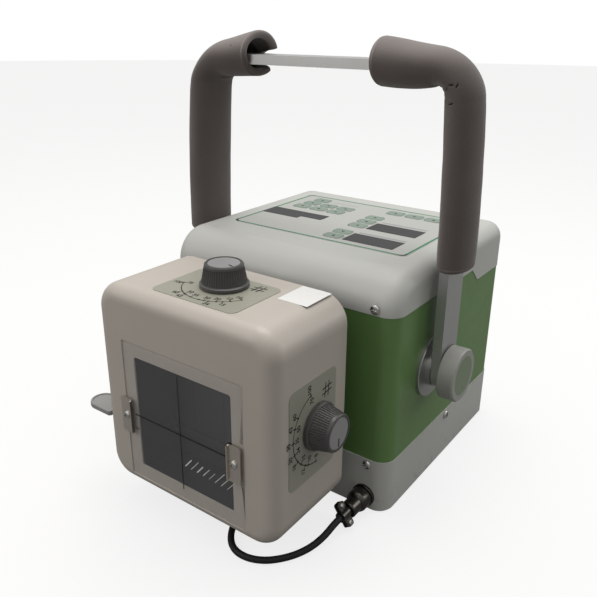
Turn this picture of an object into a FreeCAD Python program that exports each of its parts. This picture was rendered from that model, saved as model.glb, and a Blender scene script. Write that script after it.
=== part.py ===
import FreeCAD, Part
import math
import os
from FreeCAD import Vector

# Portable x-ray generator, millimetres, +Z up, +Y to the back.
# The origin is the middle of the flat underside of the bottom tray.

# Generator casing
body_width = 234.0
body_depth = 220.0
body_height = 210.0
wall = 3.0
front_top_radius = 30.0
rear_top_radius = 17.0
side_radius = 14.0
tray_top = 49.5
cover_edge = 179.0
cover_step_drop = 13.0
cover_step_y = 34.0
cover_step_run = 14.0
casing_inset = 0.6
tray_edge_chamfer = 1.5
foot_recess = 1.5
foot_radius = 9.0
foot_inset = 26.0
foot_stem_radius = 2.5

# Cover screws
screw_head_radius = 4.0
screw_head_height = 2.4
screw_shank_radius = 1.9
screw_length = 9.0
screw_from_seam = 5.2
screw_tab_margin = 7.0
front_screw_x = 98.0
side_screw_y = 2.0

# Control panel
panel_width = 184.0
panel_depth = 132.0
panel_centre_y = 11.4
panel_thickness = 0.8
panel_pocket = 0.5
panel_corner = 6.0
key_emboss = 0.4
key_width = 18.6
key_depth = 13.0
key_corner = 4.0
window_rise = 0.3

# Handle
pivot_y = -42.0
pivot_z = 114.0
bar_width = 30.0
bar_thickness = 8.0
arm_gap = 7.2
bar_top = 361.0
bar_bend_radius = 26.0
grip_thickness = 27.0
grip_height = 34.0
grip_width = 44.0
grip_offset = 2.8
grip_bottom = 206.0
grip_end = 53.0
grip_bend_radius = 25.0
grip_slot_clearance = 0.2
stud_radius = 6.0
running_clearance = 0.05
thread_radius = 4.0
disc_radius = 26.5
disc_thickness = 3.0
disc_boss_radius = 16.0
side_gap = 0.3
clamp_knob_radius = 23.0
clamp_knob_depth = 14.5
set_screw_radius = 1.6
set_screw_angle = 35.0
clamp_inlay_radius = 17.0
clamp_inlay_depth = 0.8
nut_radius = 10.0

# Chassis and inner units
chassis_thickness = 2.0
chassis_half_depth = 88.0
chassis_height = 150.0
tank_width = 140.0
tank_depth = 108.0
tank_height = 138.0
tank_foot = 8.0
board_thickness = 1.6

# Collimator
collimator_width = 178.0
collimator_depth = 88.0
collimator_height = 176.0
collimator_gap = 25.0
collimator_bottom = 24.0
collimator_wall = 3.0
collimator_corner = 22.0
collimator_front_fillet = 12.0
beam_z = 95.5
aperture = 99.0
window_size = 122.0
window_thickness = 2.5
window_pocket = 1.0
window_bevel = 1.4
window_fit = 0.5
notch_height = 34.0
notch_depth = 14.0
clip_x = (-58.5, 54.0)
clip_width = 12.0
clip_height = 31.0
clip_drop = 3.5
clip_thickness = 1.2
flange_radius = 45.5
flange_thickness = 5.0
neck_radius = 36.5
port_radius = 30.0

# Collimator knobs and scale plates
top_knob_x = 2.0
knob_axis_y = -172.0
side_knob_z = 111.0
knob_base_radius = 19.0
knob_skirt_radius = 17.6
knob_top_radius = 14.8
knob_height = 18.0
knob_flange = 2.2
knob_flutes = 54
knob_flute_radius = 0.7
knob_cap_radius = 12.6
knob_cap_depth = 0.9
shaft_radius = 3.0
bush_radius = 6.0
bush_flange_radius = 8.0
scale_length = 82.0
scale_width = 58.0
scale_thickness = 0.4
scale_corner = 6.0
scale_shift = 9.0
side_scale_shift = 6.0

# Shutter drive
gear_module = 1.0
pinion_teeth = 16
pressure_angle = math.radians(20)
backlash = 0.3
gear_face = 5.0
shutter_travel = 32.0
blade_thickness = 2.0
blade_width = 33.0
blade_height = 74.0
blade_gap = 0.5
blade_clearance = 0.5
arm_half = 4.2
frame_thickness = 3.0

# Lamp lever, rear fittings and lamp cable
lever_thickness = 5.0
lever_width = 22.0
lever_reach = 35.0
lever_y = -207.0
lever_z = 76.0
lever_swing_clearance = 2.2
lever_top_clearance = 0.25
lever_shank = 12.0
plug_x = 96.5
plug_z = 13.5
socket_radius = 10.2
cable_radius = 2.75

# Small pan head screws of the collimator
small_head_radius = 3.2
small_head_height = 2.1
small_shank_radius = 1.5
small_length = 7.3

# Values worked out from the ones above
half_width = body_width / 2
half_depth = body_depth / 2
casing_side = half_width - casing_inset
casing_front = -half_depth + casing_inset
back_face = -half_depth - collimator_gap
front_face = back_face - collimator_depth
collimator_top = collimator_bottom + collimator_height
collimator_side = collimator_width / 2
collimator_mid_z = collimator_bottom + collimator_height / 2
arm_inner = half_width + arm_gap
arm_outer = arm_inner + bar_thickness
pitch_radius = gear_module * pinion_teeth / 2
blade_plane_x = knob_axis_y - frame_thickness / 2 - blade_clearance
blade_plane_z = knob_axis_y + frame_thickness / 2 + blade_clearance
stud_bore = stud_radius + running_clearance


def box(x0, x1, y0, y1, z0, z1):
    return Part.makeBox(x1 - x0, y1 - y0, z1 - z0, Vector(x0, y0, z0))


def rod(radius, start, axis, length):
    return Part.makeCylinder(radius, length, Vector(*start), Vector(*axis))


def join(shapes):
    """One solid from several that touch or overlap."""
    whole = shapes[0].fuse(shapes[1:]) if len(shapes) > 1 else shapes[0]
    return whole.removeSplitter()


def group(shapes):
    return Part.makeCompound(shapes)


def join_apart(shapes):
    """One shape from several solids that don't touch."""
    return shapes[0].fuse(shapes[1:])


def on_xy(z):
    return lambda a, b: Vector(a, b, z)


def on_xz(y):
    return lambda a, b: Vector(a, y, b)


def on_yz(x):
    return lambda a, b: Vector(x, a, b)


def outline(points, radii, plane):
    """Closed wire through the points, each corner rounded by its radius."""
    count = len(points)
    starts, ends, mids = [], [], []
    for i, (px, py) in enumerate(points):
        ax, ay = points[i - 1]
        bx, by = points[(i + 1) % count]
        la, lb = math.hypot(ax - px, ay - py), math.hypot(bx - px, by - py)
        ua, ub = ((ax - px) / la, (ay - py) / la), ((bx - px) / lb, (by - py) / lb)
        half = math.acos(max(-1, min(1, ua[0] * ub[0] + ua[1] * ub[1]))) / 2
        r = radii[i] if isinstance(radii, (list, tuple)) else radii
        t = r / math.tan(half)
        starts.append((px + ua[0] * t, py + ua[1] * t))
        ends.append((px + ub[0] * t, py + ub[1] * t))
        bis = (ua[0] + ub[0], ua[1] + ub[1])
        size = math.hypot(*bis)
        reach = r / math.sin(half) - r
        mids.append((px + bis[0] / size * reach, py + bis[1] / size * reach) if r else None)
    edges = []
    for i in range(count):
        if mids[i]:
            arc = Part.Arc(plane(*starts[i]), plane(*mids[i]), plane(*ends[i]))
            edges.append(arc.toShape())
        a, b = ends[i], starts[(i + 1) % count]
        if math.dist(a, b) > 1e-6:
            edges.append(Part.makeLine(plane(*a), plane(*b)))
    return Part.Wire(edges)


def slab(points, radii, plane, push):
    return Part.Face(outline(points, radii, plane)).extrude(Vector(*push))


def rectangle(a0, a1, b0, b1):
    return [(a0, b0), (a1, b0), (a1, b1), (a0, b1)]


def turned(profile, base, axis):
    """Solid turned from (radius, height) points about an axis through base."""
    wire = Part.makePolygon([Vector(r, 0, h) for r, h in profile + profile[:1]])
    solid = Part.Face(wire).revolve(Vector(0, 0, 0), Vector(0, 0, 1), 360)
    return aimed(solid, base, axis)


def aimed(shape, base, axis):
    """Copy of a shape made along +Z at the origin, turned to an axis and moved to base."""
    turn = FreeCAD.Rotation(Vector(0, 0, 1), Vector(*axis))
    return shape.transformGeometry(FreeCAD.Placement(Vector(*base), turn).toMatrix())


def mirrored(shape):
    return shape.mirror(Vector(0, 0, 0), Vector(1, 0, 0))


# Casing
def casing_block(inset, bottom):
    """The closed outer form, smaller by inset on every side above the bottom."""
    y0, y1 = -half_depth + inset, half_depth - inset
    top = body_height - inset
    x = half_width - inset
    radii = [0, 0, rear_top_radius - inset, front_top_radius - inset]
    block = slab(rectangle(y0, y1, bottom, top), radii, on_yz(-x), (2 * x, 0, 0))
    edges = [e for e in block.Edges if on_side_face(e, x) and e.CenterOfMass.z > bottom + 0.1]
    return block.makeFillet(side_radius - inset, edges)


def on_side_face(edge, x):
    return all(abs(abs(v.X) - x) < 1e-4 for v in edge.Vertexes) and edge.BoundBox.XLength < 1e-4


def cover_zone():
    """Everything above the stepped seam between the cover and the casing."""
    far, low = 2 * body_depth, cover_edge - cover_step_drop
    points = [(-far, cover_edge), (cover_step_y, cover_edge), (cover_step_y + cover_step_run, low)]
    points += [(far, low), (far, 2 * body_height), (-far, 2 * body_height)]
    return slab(points, 0, on_yz(-body_width), (2 * body_width, 0, 0))


def screw_places():
    """Base point and outward axis of each cover screw."""
    low, high = tray_top - screw_from_seam, cover_edge + screw_from_seam
    places = [((x, y * half_depth, z), (0, y, 0))
              for x in (-front_screw_x, front_screw_x) for y in (-1, 1) for z in (low, high)]
    places += [((s * half_width, side_screw_y, low), (s, 0, 0)) for s in (-1, 1)]
    return places


def hole_along(base, axis, radius, reach):
    """Cutter along an axis, reaching equally far to both sides of its base."""
    start = tuple(b - a * reach for b, a in zip(base, axis))
    return rod(radius, start, axis, 2 * reach)


def pan_screw(base, axis, head_radius, head_height, shank_radius, length):
    profile = [(0, -length), (shank_radius, -length), (shank_radius, 0), (head_radius, 0)]
    profile += [(head_radius, head_height * 0.35), (head_radius * 0.8, head_height * 0.8)]
    profile += [(head_radius * 0.45, head_height), (0, head_height)]
    screw = turned(profile, (0, 0, 0), (0, 0, 1))
    arm, slot = head_radius * 0.55, head_radius * 0.13
    for a, b in ((arm, slot), (slot, arm)):
        screw = screw.cut(box(-a, a, -b, b, head_height * 0.45, head_height * 2))
    return aimed(screw, base, axis)


def cover_screws():
    size = (screw_head_radius, screw_head_height, screw_shank_radius, screw_length)
    return group([pan_screw(base, axis, *size) for base, axis in screw_places()])


def screw_holes():
    return [hole_along(base, axis, screw_shank_radius, screw_length) for base, axis in screw_places()]


def screw_tabs():
    """Tongues of the middle casing behind the tray and the cover, threaded for the screws."""
    tabs = []
    for (x, y, z), axis in screw_places():
        if not axis[1]:
            continue
        upper_seam = cover_edge if y < 0 else cover_edge - cover_step_drop
        seam = tray_top if z < tray_top else upper_seam
        face = axis[1] * (half_depth - wall)
        y0, y1 = sorted((face, face - axis[1] * wall))
        low, high = min(z, seam) - screw_tab_margin, max(z, seam) + screw_tab_margin
        tabs.append(box(x - 5, x + 5, y0, y1, low, high))
    return join_apart(tabs).common(casing_block(wall, 0))


def foot_places():
    x, y = half_width - foot_inset, half_depth - foot_inset
    return [(sx * x, sy * y) for sx in (-1, 1) for sy in (-1, 1)]


def bottom_tray():
    shell = casing_block(0, 0).cut(casing_block(wall, wall))
    shell = shell.common(box(-half_width, half_width, -half_depth, half_depth, 0, tray_top))
    rim = [e for e in shell.Edges if e.BoundBox.ZMax < 1e-4]
    shell = shell.makeChamfer(tray_edge_chamfer, rim)
    holes = screw_holes()
    holes += [rod(foot_stem_radius, (x, y, -1), (0, 0, 1), wall + 2) for x, y in foot_places()]
    holes += [rod(foot_radius, (x, y, -1), (0, 0, 1), foot_recess + 1) for x, y in foot_places()]
    holes.append(rod(socket_thread_radius, (plug_x, -half_depth - 1, plug_z), (0, 1, 0), wall + 2))
    holes.append(box(*inlet_cut()))
    return shell.cut(holes)


def rubber_feet():
    """Grip pads let into the floor of the tray, flush with it."""
    profile = [(0, 0), (foot_radius, 0), (foot_radius, foot_recess), (foot_stem_radius, foot_recess)]
    profile += [(foot_stem_radius, wall + 1.5), (0, wall + 1.5)]
    return group([turned(profile, (x, y, 0), (0, 0, 1)) for x, y in foot_places()])


def middle_casing():
    shell = casing_block(casing_inset, 0).cut(casing_block(wall, -1))
    shell = shell.common(box(-half_width, half_width, -half_depth, half_depth, tray_top, body_height))
    shell = join([shell.cut(cover_zone()), screw_tabs()])
    holes = screw_holes() + [rod(stud_radius, (-body_width, pivot_y, pivot_z), (1, 0, 0), 2 * body_width)]
    holes.append(rod(port_radius, (0, -half_depth - 1, beam_z), (0, 1, 0), 20))
    holes += flange_holes()
    holes += [rod(r, (x, half_depth - wall - 1, z), (0, 1, 0), wall + 2) for r, x, z in rear_round_cuts()]
    return shell.cut(holes)


def top_cover():
    shell = casing_block(0, 0).cut(casing_block(wall, -1)).common(cover_zone())
    deep = body_height - panel_pocket
    pocket = rectangle(-panel_width / 2, panel_width / 2, *panel_span())
    cover = shell.cut([slab(pocket, panel_corner, on_xy(deep), (0, 0, 5))] + screw_holes())
    leads = [box(x0, x1, y0, y1, body_height - wall - 1, body_height) for x0, x1, y0, y1 in lead_cuts()]
    return cover.cut(leads)


# Control panel
def panel_span():
    return panel_centre_y - panel_depth / 2, panel_centre_y + panel_depth / 2


legend_points = [(-90.5, 11.5), (-25, 11.5), (-25, -3.7), (-48, -3.7), (-48, -10.8), (-90.5, -10.8)]
upper_points = rectangle(25, 75, -3, 19)
lower_points = rectangle(25, 75, -44.5, -22)
key_pitch = 20.5
program_keys = [(-66, 61.4)]
program_keys += [(-68.5 + key_pitch * i, 45.7) for i in range(3)]
program_keys += [(-70.5 + key_pitch * i, 30) for i in range(3)]
upper_keys = [(13.5, 34), (13.5, 17.7), (13.5, 1.9)]
lower_keys = [(13.5, -24), (13.5, -39.7)]
mode_keys = [(21.8 + key_pitch * i, 61) for i in range(3)]


def key_places():
    return program_keys + upper_keys + lower_keys + mode_keys


def panel_overlay():
    low = body_height - panel_pocket
    sheet = slab(rectangle(-panel_width / 2, panel_width / 2, *panel_span()), panel_corner, on_xy(low),
                 (0, 0, panel_thickness))
    top = low + panel_thickness
    keys = []
    for x, y in key_places():
        shape = rectangle(x - key_width / 2, x + key_width / 2, y - key_depth / 2, y + key_depth / 2)
        keys.append(slab(shape, key_corner, on_xy(top), (0, 0, key_emboss)))
    sheet = join([sheet] + keys)
    return sheet.cut([slab(points, 0, on_xy(low - 1), (0, 0, 4)) for points in window_points()])


def window_points():
    return [legend_points, upper_points, lower_points]


def display_window(points):
    low = body_height - panel_pocket
    return slab(points, 0, on_xy(low), (0, 0, panel_thickness + window_rise))


def lead_cuts():
    """Slots under the windows for the display modules and the keypad tail."""
    return [(30, 70, 2, 14), (30, 70, -39, -27), (-60, -30, 18, 20)]


def control_board():
    """Board hung from the cover on four posts, with its two display modules."""
    under = body_height - wall
    low = under - 12
    board = box(-82, 82, -48, 68, low, low + board_thickness)
    posts = [rod(4, (x, y, low + board_thickness), (0, 0, 1), under - low - board_thickness)
             for x in (-74, 74) for y in (-40, 60)]
    displays = [box(x0 + 1, x1 - 1, y0 + 1, y1 - 1, low + board_thickness, under - 0.5)
                for x0, x1, y0, y1 in lead_cuts()[:2]]
    chips = [box(x, x + 14, -10, 4, low + board_thickness, low + 4) for x in (-60, -30)]
    return join([board] + posts + displays + chips)


# Inner units
def chassis():
    """Folded sheet that carries the tank and the handle studs."""
    floor = wall
    side = half_width - wall
    t = chassis_thickness
    d = chassis_half_depth
    profile = [(-side, floor), (side, floor), (side, chassis_height), (side - t, chassis_height)]
    profile += [(side - t, floor + t), (-side + t, floor + t), (-side + t, chassis_height)]
    profile += [(-side, chassis_height)]
    sheet = slab(profile, 0, on_xz(-d), (0, 2 * d, 0))
    holes = [rod(stud_radius, (-body_width, pivot_y, pivot_z), (1, 0, 0), 2 * body_width)]
    holes += [rod(foot_radius, (x, y, 0), (0, 0, 1), 12) for x, y in foot_places()]
    return sheet.cut(holes + screw_holes())


def hv_tank():
    """Sealed tank with a rimmed lid, side ribs, mounting feet and the beam port."""
    low = wall + chassis_thickness + tank_foot
    front = -half_depth + 18
    back = front + tank_depth
    half = tank_width / 2
    body = slab(rectangle(-half, half, front, back), 8, on_xy(low), (0, 0, tank_height))
    edge = rectangle(-half - 5, half + 5, front - 5, back + 5)
    rim = slab(edge, 10, on_xy(low + tank_height - 12), (0, 0, 4))
    ribs = [box(s * half - 4, s * half + 4, y, y + 4, low + 10, low + tank_height - 12)
            for s in (-1, 1) for y in (front + 20, front + 50, front + 80)]
    feet = [box(s * half * 0.7 - 10, s * half * 0.7 + 10, front + 5, back - 5, low - tank_foot, low)
            for s in (-1, 1)]
    port = rod(port_radius - 1, (0, front + 1, beam_z), (0, -1, 0), front + 1 + half_depth - wall)
    filler = rod(7, (40, back - 25, low + tank_height), (0, 0, 1), 9)
    tank = join([body, rim, port, filler] + ribs + feet)
    return tank.cut(rod(16, (0, -half_depth, beam_z), (0, 1, 0), 30))


def inverter_board():
    """Power board standing behind the tank, with capacitors and a finned heat sink."""
    floor = wall + chassis_thickness
    y0 = 46.0
    board = box(-85, 85, y0, y0 + board_thickness, floor, floor + 130)
    caps = [rod(11, (-62 + 27 * i, y0 + board_thickness, floor + 100), (0, 1, 0), 36) for i in range(4)]
    plate = box(-70, 60, y0 + board_thickness, y0 + 6, floor + 30, floor + 76)
    fins = [box(-70 + 10 * i, -67.5 + 10 * i, y0 + 6, y0 + 26, floor + 30, floor + 76) for i in range(13)]
    coil = rod(14, (70, y0 + board_thickness, floor + 100), (0, 1, 0), 20)
    feet = [box(x - 7, x + 7, y0 - 8, y0 + 8, floor, floor + 3) for x in (-76, 76)]
    return join([board, plate, coil] + caps + fins + feet)


# Rear fittings
switch_x = 62.0
inlet_x = -58.0
inlet_z = 27.0
rear_z = 100.0
hand_socket_x = -60.0
earth_x = 14.0


def inlet_cut():
    """Window in the tray's rear wall for the mains inlet."""
    y0, y1 = half_depth - wall - 2, half_depth + 2
    return (inlet_x - 13.6, inlet_x + 13.6, y0, y1, inlet_z - 10, inlet_z + 10)


def rear_round_cuts():
    return [(8.0, hand_socket_x, rear_z), (3.0, earth_x, rear_z), (10.0, switch_x, rear_z)]


def mains_inlet():
    """Three pin appliance inlet with a flange and a shrouded well."""
    x0, x1, _, _, z0, z1 = inlet_cut()
    face = half_depth
    flange = slab(rectangle(x0 - 11, x1 + 11, z0 - 1.5, z1 + 1.5), 5, on_xz(face), (0, 2.5, 0))
    case = box(x0, x1, face - 24, face, z0, z1)
    inlet = join([flange, case])
    well = [(inlet_x - 12, inlet_z - 8), (inlet_x + 12, inlet_z - 8), (inlet_x + 12, inlet_z + 4)]
    well += [(inlet_x + 8, inlet_z + 8), (inlet_x - 8, inlet_z + 8), (inlet_x - 12, inlet_z + 4)]
    inlet = inlet.cut(slab(well, 1, on_xz(face - 16), (0, 30, 0)))
    pins = [box(x - 1, x + 1, face - 17, face - 4, z - 2.5, z + 2.5)
            for x, z in ((inlet_x - 7, inlet_z - 2), (inlet_x, inlet_z + 2), (inlet_x + 7, inlet_z - 2))]
    return join([inlet] + pins)


rocker_half = 5.6
rocker_length = 14.0
rocker_rise = 3.2
rocker_gap = 0.3
rocker_rest_tilt = -10.0
rocker_axis_depth = 3.0
rocker_pin_radius = 1.4
rocker_pin_reach = 8.0


def switch_frame():
    """Round snap-in bezel of the mains switch, open through the middle."""
    face = half_depth - casing_inset
    profile = [(0, 0), (12.5, 0), (12.5, 1.4), (11, 2.4), (0, 2.4)]
    bezel = turned(profile, (switch_x, face, rear_z), (0, 1, 0))
    barrel = rod(9.9, (switch_x, face - 16, rear_z), (0, 1, 0), 16)
    frame = join([bezel, barrel])
    a, b = rocker_half + rocker_gap, rocker_length / 2 + rocker_gap
    opening = box(switch_x - a, switch_x + a, face - 13, face + 6, rear_z - b, rear_z + b)
    bearing = rocker_pin(rocker_pin_radius + running_clearance, rocker_pin_reach + rocker_gap)
    return frame.cut([opening, bearing])


def rocker_pin(radius, reach):
    y = half_depth - casing_inset - rocker_axis_depth
    return rod(radius, (switch_x - reach, y, rear_z), (1, 0, 0), 2 * reach)


def power_rocker():
    """V shaped rocker, tipped to its off side about the pivot behind the bezel."""
    face = half_depth - casing_inset
    y, b = face - rocker_axis_depth, rocker_length / 2 - 1.2
    points = [(y - 4, rear_z - b * 0.6), (y - 4, rear_z + b * 0.6), (face + rocker_rise, rear_z + b)]
    points += [(face + 0.6, rear_z), (face + rocker_rise, rear_z - b)]
    rocker = slab(points, [1, 1, 0.6, 0, 0.6], on_yz(switch_x - rocker_half), (2 * rocker_half, 0, 0))
    rocker.rotate(Vector(0, y, rear_z), Vector(1, 0, 0), rocker_rest_tilt)
    return join([rocker, rocker_pin(rocker_pin_radius, rocker_pin_reach)])


def hand_switch_socket():
    """Panel socket with a plain collar and two contact slots for the exposure hand switch."""
    face = half_depth - casing_inset
    profile = [(0, -14), (8, -14), (8, 0), (11, 0), (11, 2), (9, 3), (9, 8), (6.4, 8), (6.4, -6), (0, -6)]
    socket = turned(profile, (hand_socket_x, face, rear_z), (0, 1, 0))
    core = rod(5.2, (hand_socket_x, face - 7, rear_z), (0, 1, 0), 10)
    slots = [box(x - 0.5, x + 0.5, face - 1, face + 5, rear_z - 2, rear_z + 2)
             for x in (hand_socket_x - 2.2, hand_socket_x + 2.2)]
    return join([socket, core]).cut(slots)


def earth_stud():
    face = half_depth - casing_inset
    profile = [(0, -9), (3, -9), (3, 0), (7, 0), (7, 1.2)]
    profile += [(5.5, 1.2), (5.5, 5.5), (3, 5.5), (3, 13), (0, 13)]
    return turned(profile, (earth_x, face, rear_z), (0, 1, 0))


# Handle
def strap(gap, top, radius, thickness, half):
    """U shaped strap in XZ with its legs outside x = gap, as wide in Y as two halves."""
    outer = gap + thickness
    outside = [(-outer, 0), (outer, 0), (outer, top), (-outer, top)]
    inside = [(-gap, -1), (gap, -1), (gap, top - thickness), (-gap, top - thickness)]
    out_radii = [0, 0, radius + thickness, radius + thickness]
    in_radii = [0, 0, radius, radius]
    outer_slab = slab(outside, out_radii, on_xz(pivot_y - half), (0, 2 * half, 0))
    return outer_slab.cut(slab(inside, in_radii, on_xz(pivot_y - half - 1), (0, 2 * half + 2, 0)))


def handle_bar():
    bar = strap(arm_inner, bar_top, bar_bend_radius - bar_thickness / 2, bar_thickness, bar_width / 2)
    end = rod(bar_width / 2, (-body_width, pivot_y, pivot_z), (1, 0, 0), 2 * body_width)
    above = box(-body_width, body_width, pivot_y - bar_width, pivot_y + bar_width, pivot_z, 2 * bar_top)
    bore = rod(stud_bore, (-body_width, pivot_y, pivot_z), (1, 0, 0), 2 * body_width)
    return bar.common(join([above, end])).cut(bore)


def oval(centre, across, along_y, direction):
    """Oval wire about a centre, square to a direction in the XZ plane."""
    major, minor = along_y / 2, across / 2
    x_axis = Vector(0, 1, 0)
    ellipse = Part.Ellipse(Vector(0, 0, 0), major, minor)
    wire = Part.Wire([ellipse.toShape()])
    turn = FreeCAD.Rotation(x_axis, Vector(0, 0, 0), Vector(*direction), "ZXY")
    return wire.transformGeometry(FreeCAD.Placement(Vector(*centre), turn).toMatrix())


def grip(sign):
    """Foam sleeve along one arm and round the bend, slotted for the bar."""
    x = arm_inner + bar_thickness / 2 + grip_offset
    z = bar_top - bar_thickness / 2 + grip_offset
    r = grip_bend_radius
    low = (x, pivot_y, grip_bottom)
    bend_start, bend_end = (x, pivot_y, z - r), (x - r, pivot_y, z)
    end = (grip_end, pivot_y, z)
    foot = Part.Face(oval(low, grip_thickness, grip_width, (0, 0, 1)))
    leg = foot.extrude(Vector(0, 0, z - r - grip_bottom))
    corner = bend_loft(bend_start, r)
    top = Part.makeLoft([oval(bend_end, grip_height, grip_width, (-1, 0, 0)),
                         oval(end, grip_height, grip_width, (-1, 0, 0))], True)
    sleeve = join([leg, corner, top])
    slot = strap(arm_inner - grip_slot_clearance, bar_top + grip_slot_clearance,
                 bar_bend_radius - bar_thickness / 2 + grip_slot_clearance,
                 bar_thickness + 2 * grip_slot_clearance, bar_width / 2 + grip_slot_clearance)
    sleeve = sleeve.cut(slot)
    return sleeve if sign > 0 else mirrored(sleeve)


def bend_loft(start, radius):
    """Quarter turn whose section grows from the leg's to the top's."""
    steps = 6
    wires = []
    centre = (start[0] - radius, start[2])
    for i in range(steps + 1):
        a = math.pi / 2 * i / steps
        place = (centre[0] + radius * math.cos(a), start[1], centre[1] + radius * math.sin(a))
        across = grip_thickness + (grip_height - grip_thickness) * i / steps
        wires.append(oval(place, across, grip_width, (-math.sin(a), 0, math.cos(a))))
    return Part.makeLoft(wires, True)


def angle_disc(sign):
    """Graduated disc on the casing side with the raised boss that spaces the arm."""
    height = arm_inner - side_gap - casing_side
    profile = [(stud_radius, 0), (disc_radius, 0), (disc_radius, disc_thickness - 0.6)]
    profile += [(disc_radius - 0.6, disc_thickness), (disc_boss_radius, disc_thickness)]
    profile += [(disc_boss_radius, height), (stud_radius, height)]
    return turned(profile, (sign * casing_side, pivot_y, pivot_z), (sign, 0, 0))


def pivot_studs():
    """Shouldered studs through the chassis, casing and arms, with a hex nut inside."""
    studs = []
    inner = half_width - wall - chassis_thickness
    for sign in (-1, 1):
        shank = rod(stud_radius, (sign * inner, pivot_y, pivot_z), (sign, 0, 0), arm_outer - inner)
        tip = (sign * arm_outer, pivot_y, pivot_z)
        thread = rod(thread_radius, tip, (sign, 0, 0), clamp_knob_depth - 5.5)
        corners = [math.radians(60 * i) for i in range(6)]
        points = [(nut_radius * math.cos(a), nut_radius * math.sin(a)) for a in corners]
        nut = aimed(slab(points, 0, on_xy(0), (0, 0, 6)), (sign * inner, pivot_y, pivot_z), (-sign, 0, 0))
        studs.append(join([shank, thread, nut]))
    return group(studs)


def clamp_knob(sign):
    """Round clamp knob with a recess for the inlay and a set screw hole in its rim."""
    depth, r = clamp_knob_depth, clamp_knob_radius
    profile = [(0, 0), (r - 1, 0), (r, 1), (r, depth - 1.2), (r - 1.2, depth), (0, depth)]
    knob = turned(profile, (0, 0, 0), (0, 0, 1))
    cuts = [rod(thread_radius + running_clearance, (0, 0, -1), (0, 0, 1), depth - 4)]
    cuts.append(rod(clamp_inlay_radius, (0, 0, depth - clamp_inlay_depth), (0, 0, 1), 5))
    knob = aimed(knob.cut(cuts), (sign * (arm_outer + side_gap), pivot_y, pivot_z), (sign, 0, 0))
    a = math.radians(set_screw_angle)
    rim = (sign * (arm_outer + side_gap + depth / 2), pivot_y - r * math.cos(a), pivot_z - r * math.sin(a))
    return knob.cut(rod(set_screw_radius, rim, (0, math.cos(a), math.sin(a)), 5))


def clamp_inlay(sign):
    base = sign * (arm_outer + side_gap + clamp_knob_depth - clamp_inlay_depth)
    return rod(clamp_inlay_radius - 0.1, (base, pivot_y, pivot_z), (sign, 0, 0), clamp_inlay_depth)


# Collimator housing
def collimator_block(inset, rear):
    x = collimator_side - inset
    z0, z1 = collimator_bottom + inset, collimator_top - inset
    y = front_face + inset
    block = slab(rectangle(-x, x, z0, z1), collimator_corner - inset, on_xz(y), (0, rear - y, 0))
    rim = [e for e in block.Edges if e.BoundBox.YMax < y + 1e-4]
    return block.makeFillet(collimator_front_fillet - inset, rim)


def square_at_beam(size, y, push, corner=0):
    half = size / 2
    return slab(rectangle(-half, half, beam_z - half, beam_z + half), corner, on_xz(y), (0, push, 0))


def collimator_housing():
    shell = collimator_block(0, back_face).cut(collimator_block(collimator_wall, back_face + 1))
    posts = [rod(4, (x, back_face - collimator_wall, z), (0, -1, 0), 18) for x, z in back_screw_places()]
    bores = [rod(small_shank_radius, (x, back_face - 15, z), (0, 1, 0), 20) for x, z in back_screw_places()]
    webs = [box(min(x, s * collimator_side - s), max(x, s * collimator_side - s),
                back_face - collimator_wall - 18, back_face - collimator_wall, z - 1.5, z + 1.5)
            for x, z in back_screw_places() for s in (1 if x > 0 else -1,)]
    shell = join([shell] + [p.common(collimator_block(1, back_face)) for p in posts + webs])
    cuts = bores + [square_at_beam(aperture, front_face - 1, 10, 2)]
    cuts.append(square_at_beam(window_size + 2 * window_fit, front_face - 1, 1 + window_pocket, 2))
    cuts.append(rod(bush_radius, (top_knob_x, knob_axis_y, collimator_top - 10), (0, 0, 1), 20))
    cuts.append(rod(bush_radius, (collimator_side - 10, knob_axis_y, side_knob_z), (1, 0, 0), 20))
    cuts.append(rod(elbow_stem_radius, (elbow_x, elbow_y, 0), (0, 0, 1), collimator_bottom + 10))
    cuts += [rod(1.5, (x, front_face - 2, beam_z - clip_drop), (0, 1, 0), 10) for x in clip_x]
    half_slot = lever_shank / 2 + 0.7
    slot_low = lever_z - lever_thickness / 2 - lever_swing_clearance
    slot_high = lever_z + lever_thickness / 2 + lever_top_clearance
    cuts.append(box(-collimator_side - 5, -collimator_side + 5, lever_y - half_slot, lever_y + half_slot,
                    slot_low, slot_high))
    cuts.append(rod(stop_stem_radius, (-collimator_side - 1, lever_y, stop_z), (1, 0, 0), 6))
    return shell.cut(cuts)


def back_screw_places():
    x, z = collimator_side - 12, collimator_height / 2 - 12
    return [(sx * x, collimator_mid_z + sz * z) for sx in (-1, 1) for sz in (-1, 1)]


def collimator_back():
    inset = collimator_wall + 0.1
    x = collimator_side - inset
    z0, z1 = collimator_bottom + inset, collimator_top - inset
    plate = slab(rectangle(-x, x, z0, z1), collimator_corner - inset, on_xz(back_face - collimator_wall),
                 (0, collimator_wall, 0))
    holes = [rod(port_radius, (0, back_face - 10, beam_z), (0, 1, 0), 20)]
    for x, z in back_screw_places():
        holes.append(rod(small_shank_radius, (x, back_face - 10, z), (0, 1, 0), 20))
    return plate.cut(holes + flange_holes())


def collimator_flange():
    """Turned ring that bolts the collimator to the casing round the beam port."""
    length = casing_front - back_face
    t = flange_thickness
    profile = [(port_radius, 0), (flange_radius, 0), (flange_radius, t), (neck_radius + 1, t)]
    profile += [(neck_radius, t + 1), (neck_radius, length - t - 1), (neck_radius + 1, length - t)]
    profile += [(flange_radius, length - t), (flange_radius, length), (port_radius, length)]
    return turned(profile, (0, casing_front, beam_z), (0, -1, 0)).cut(flange_holes())


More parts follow.
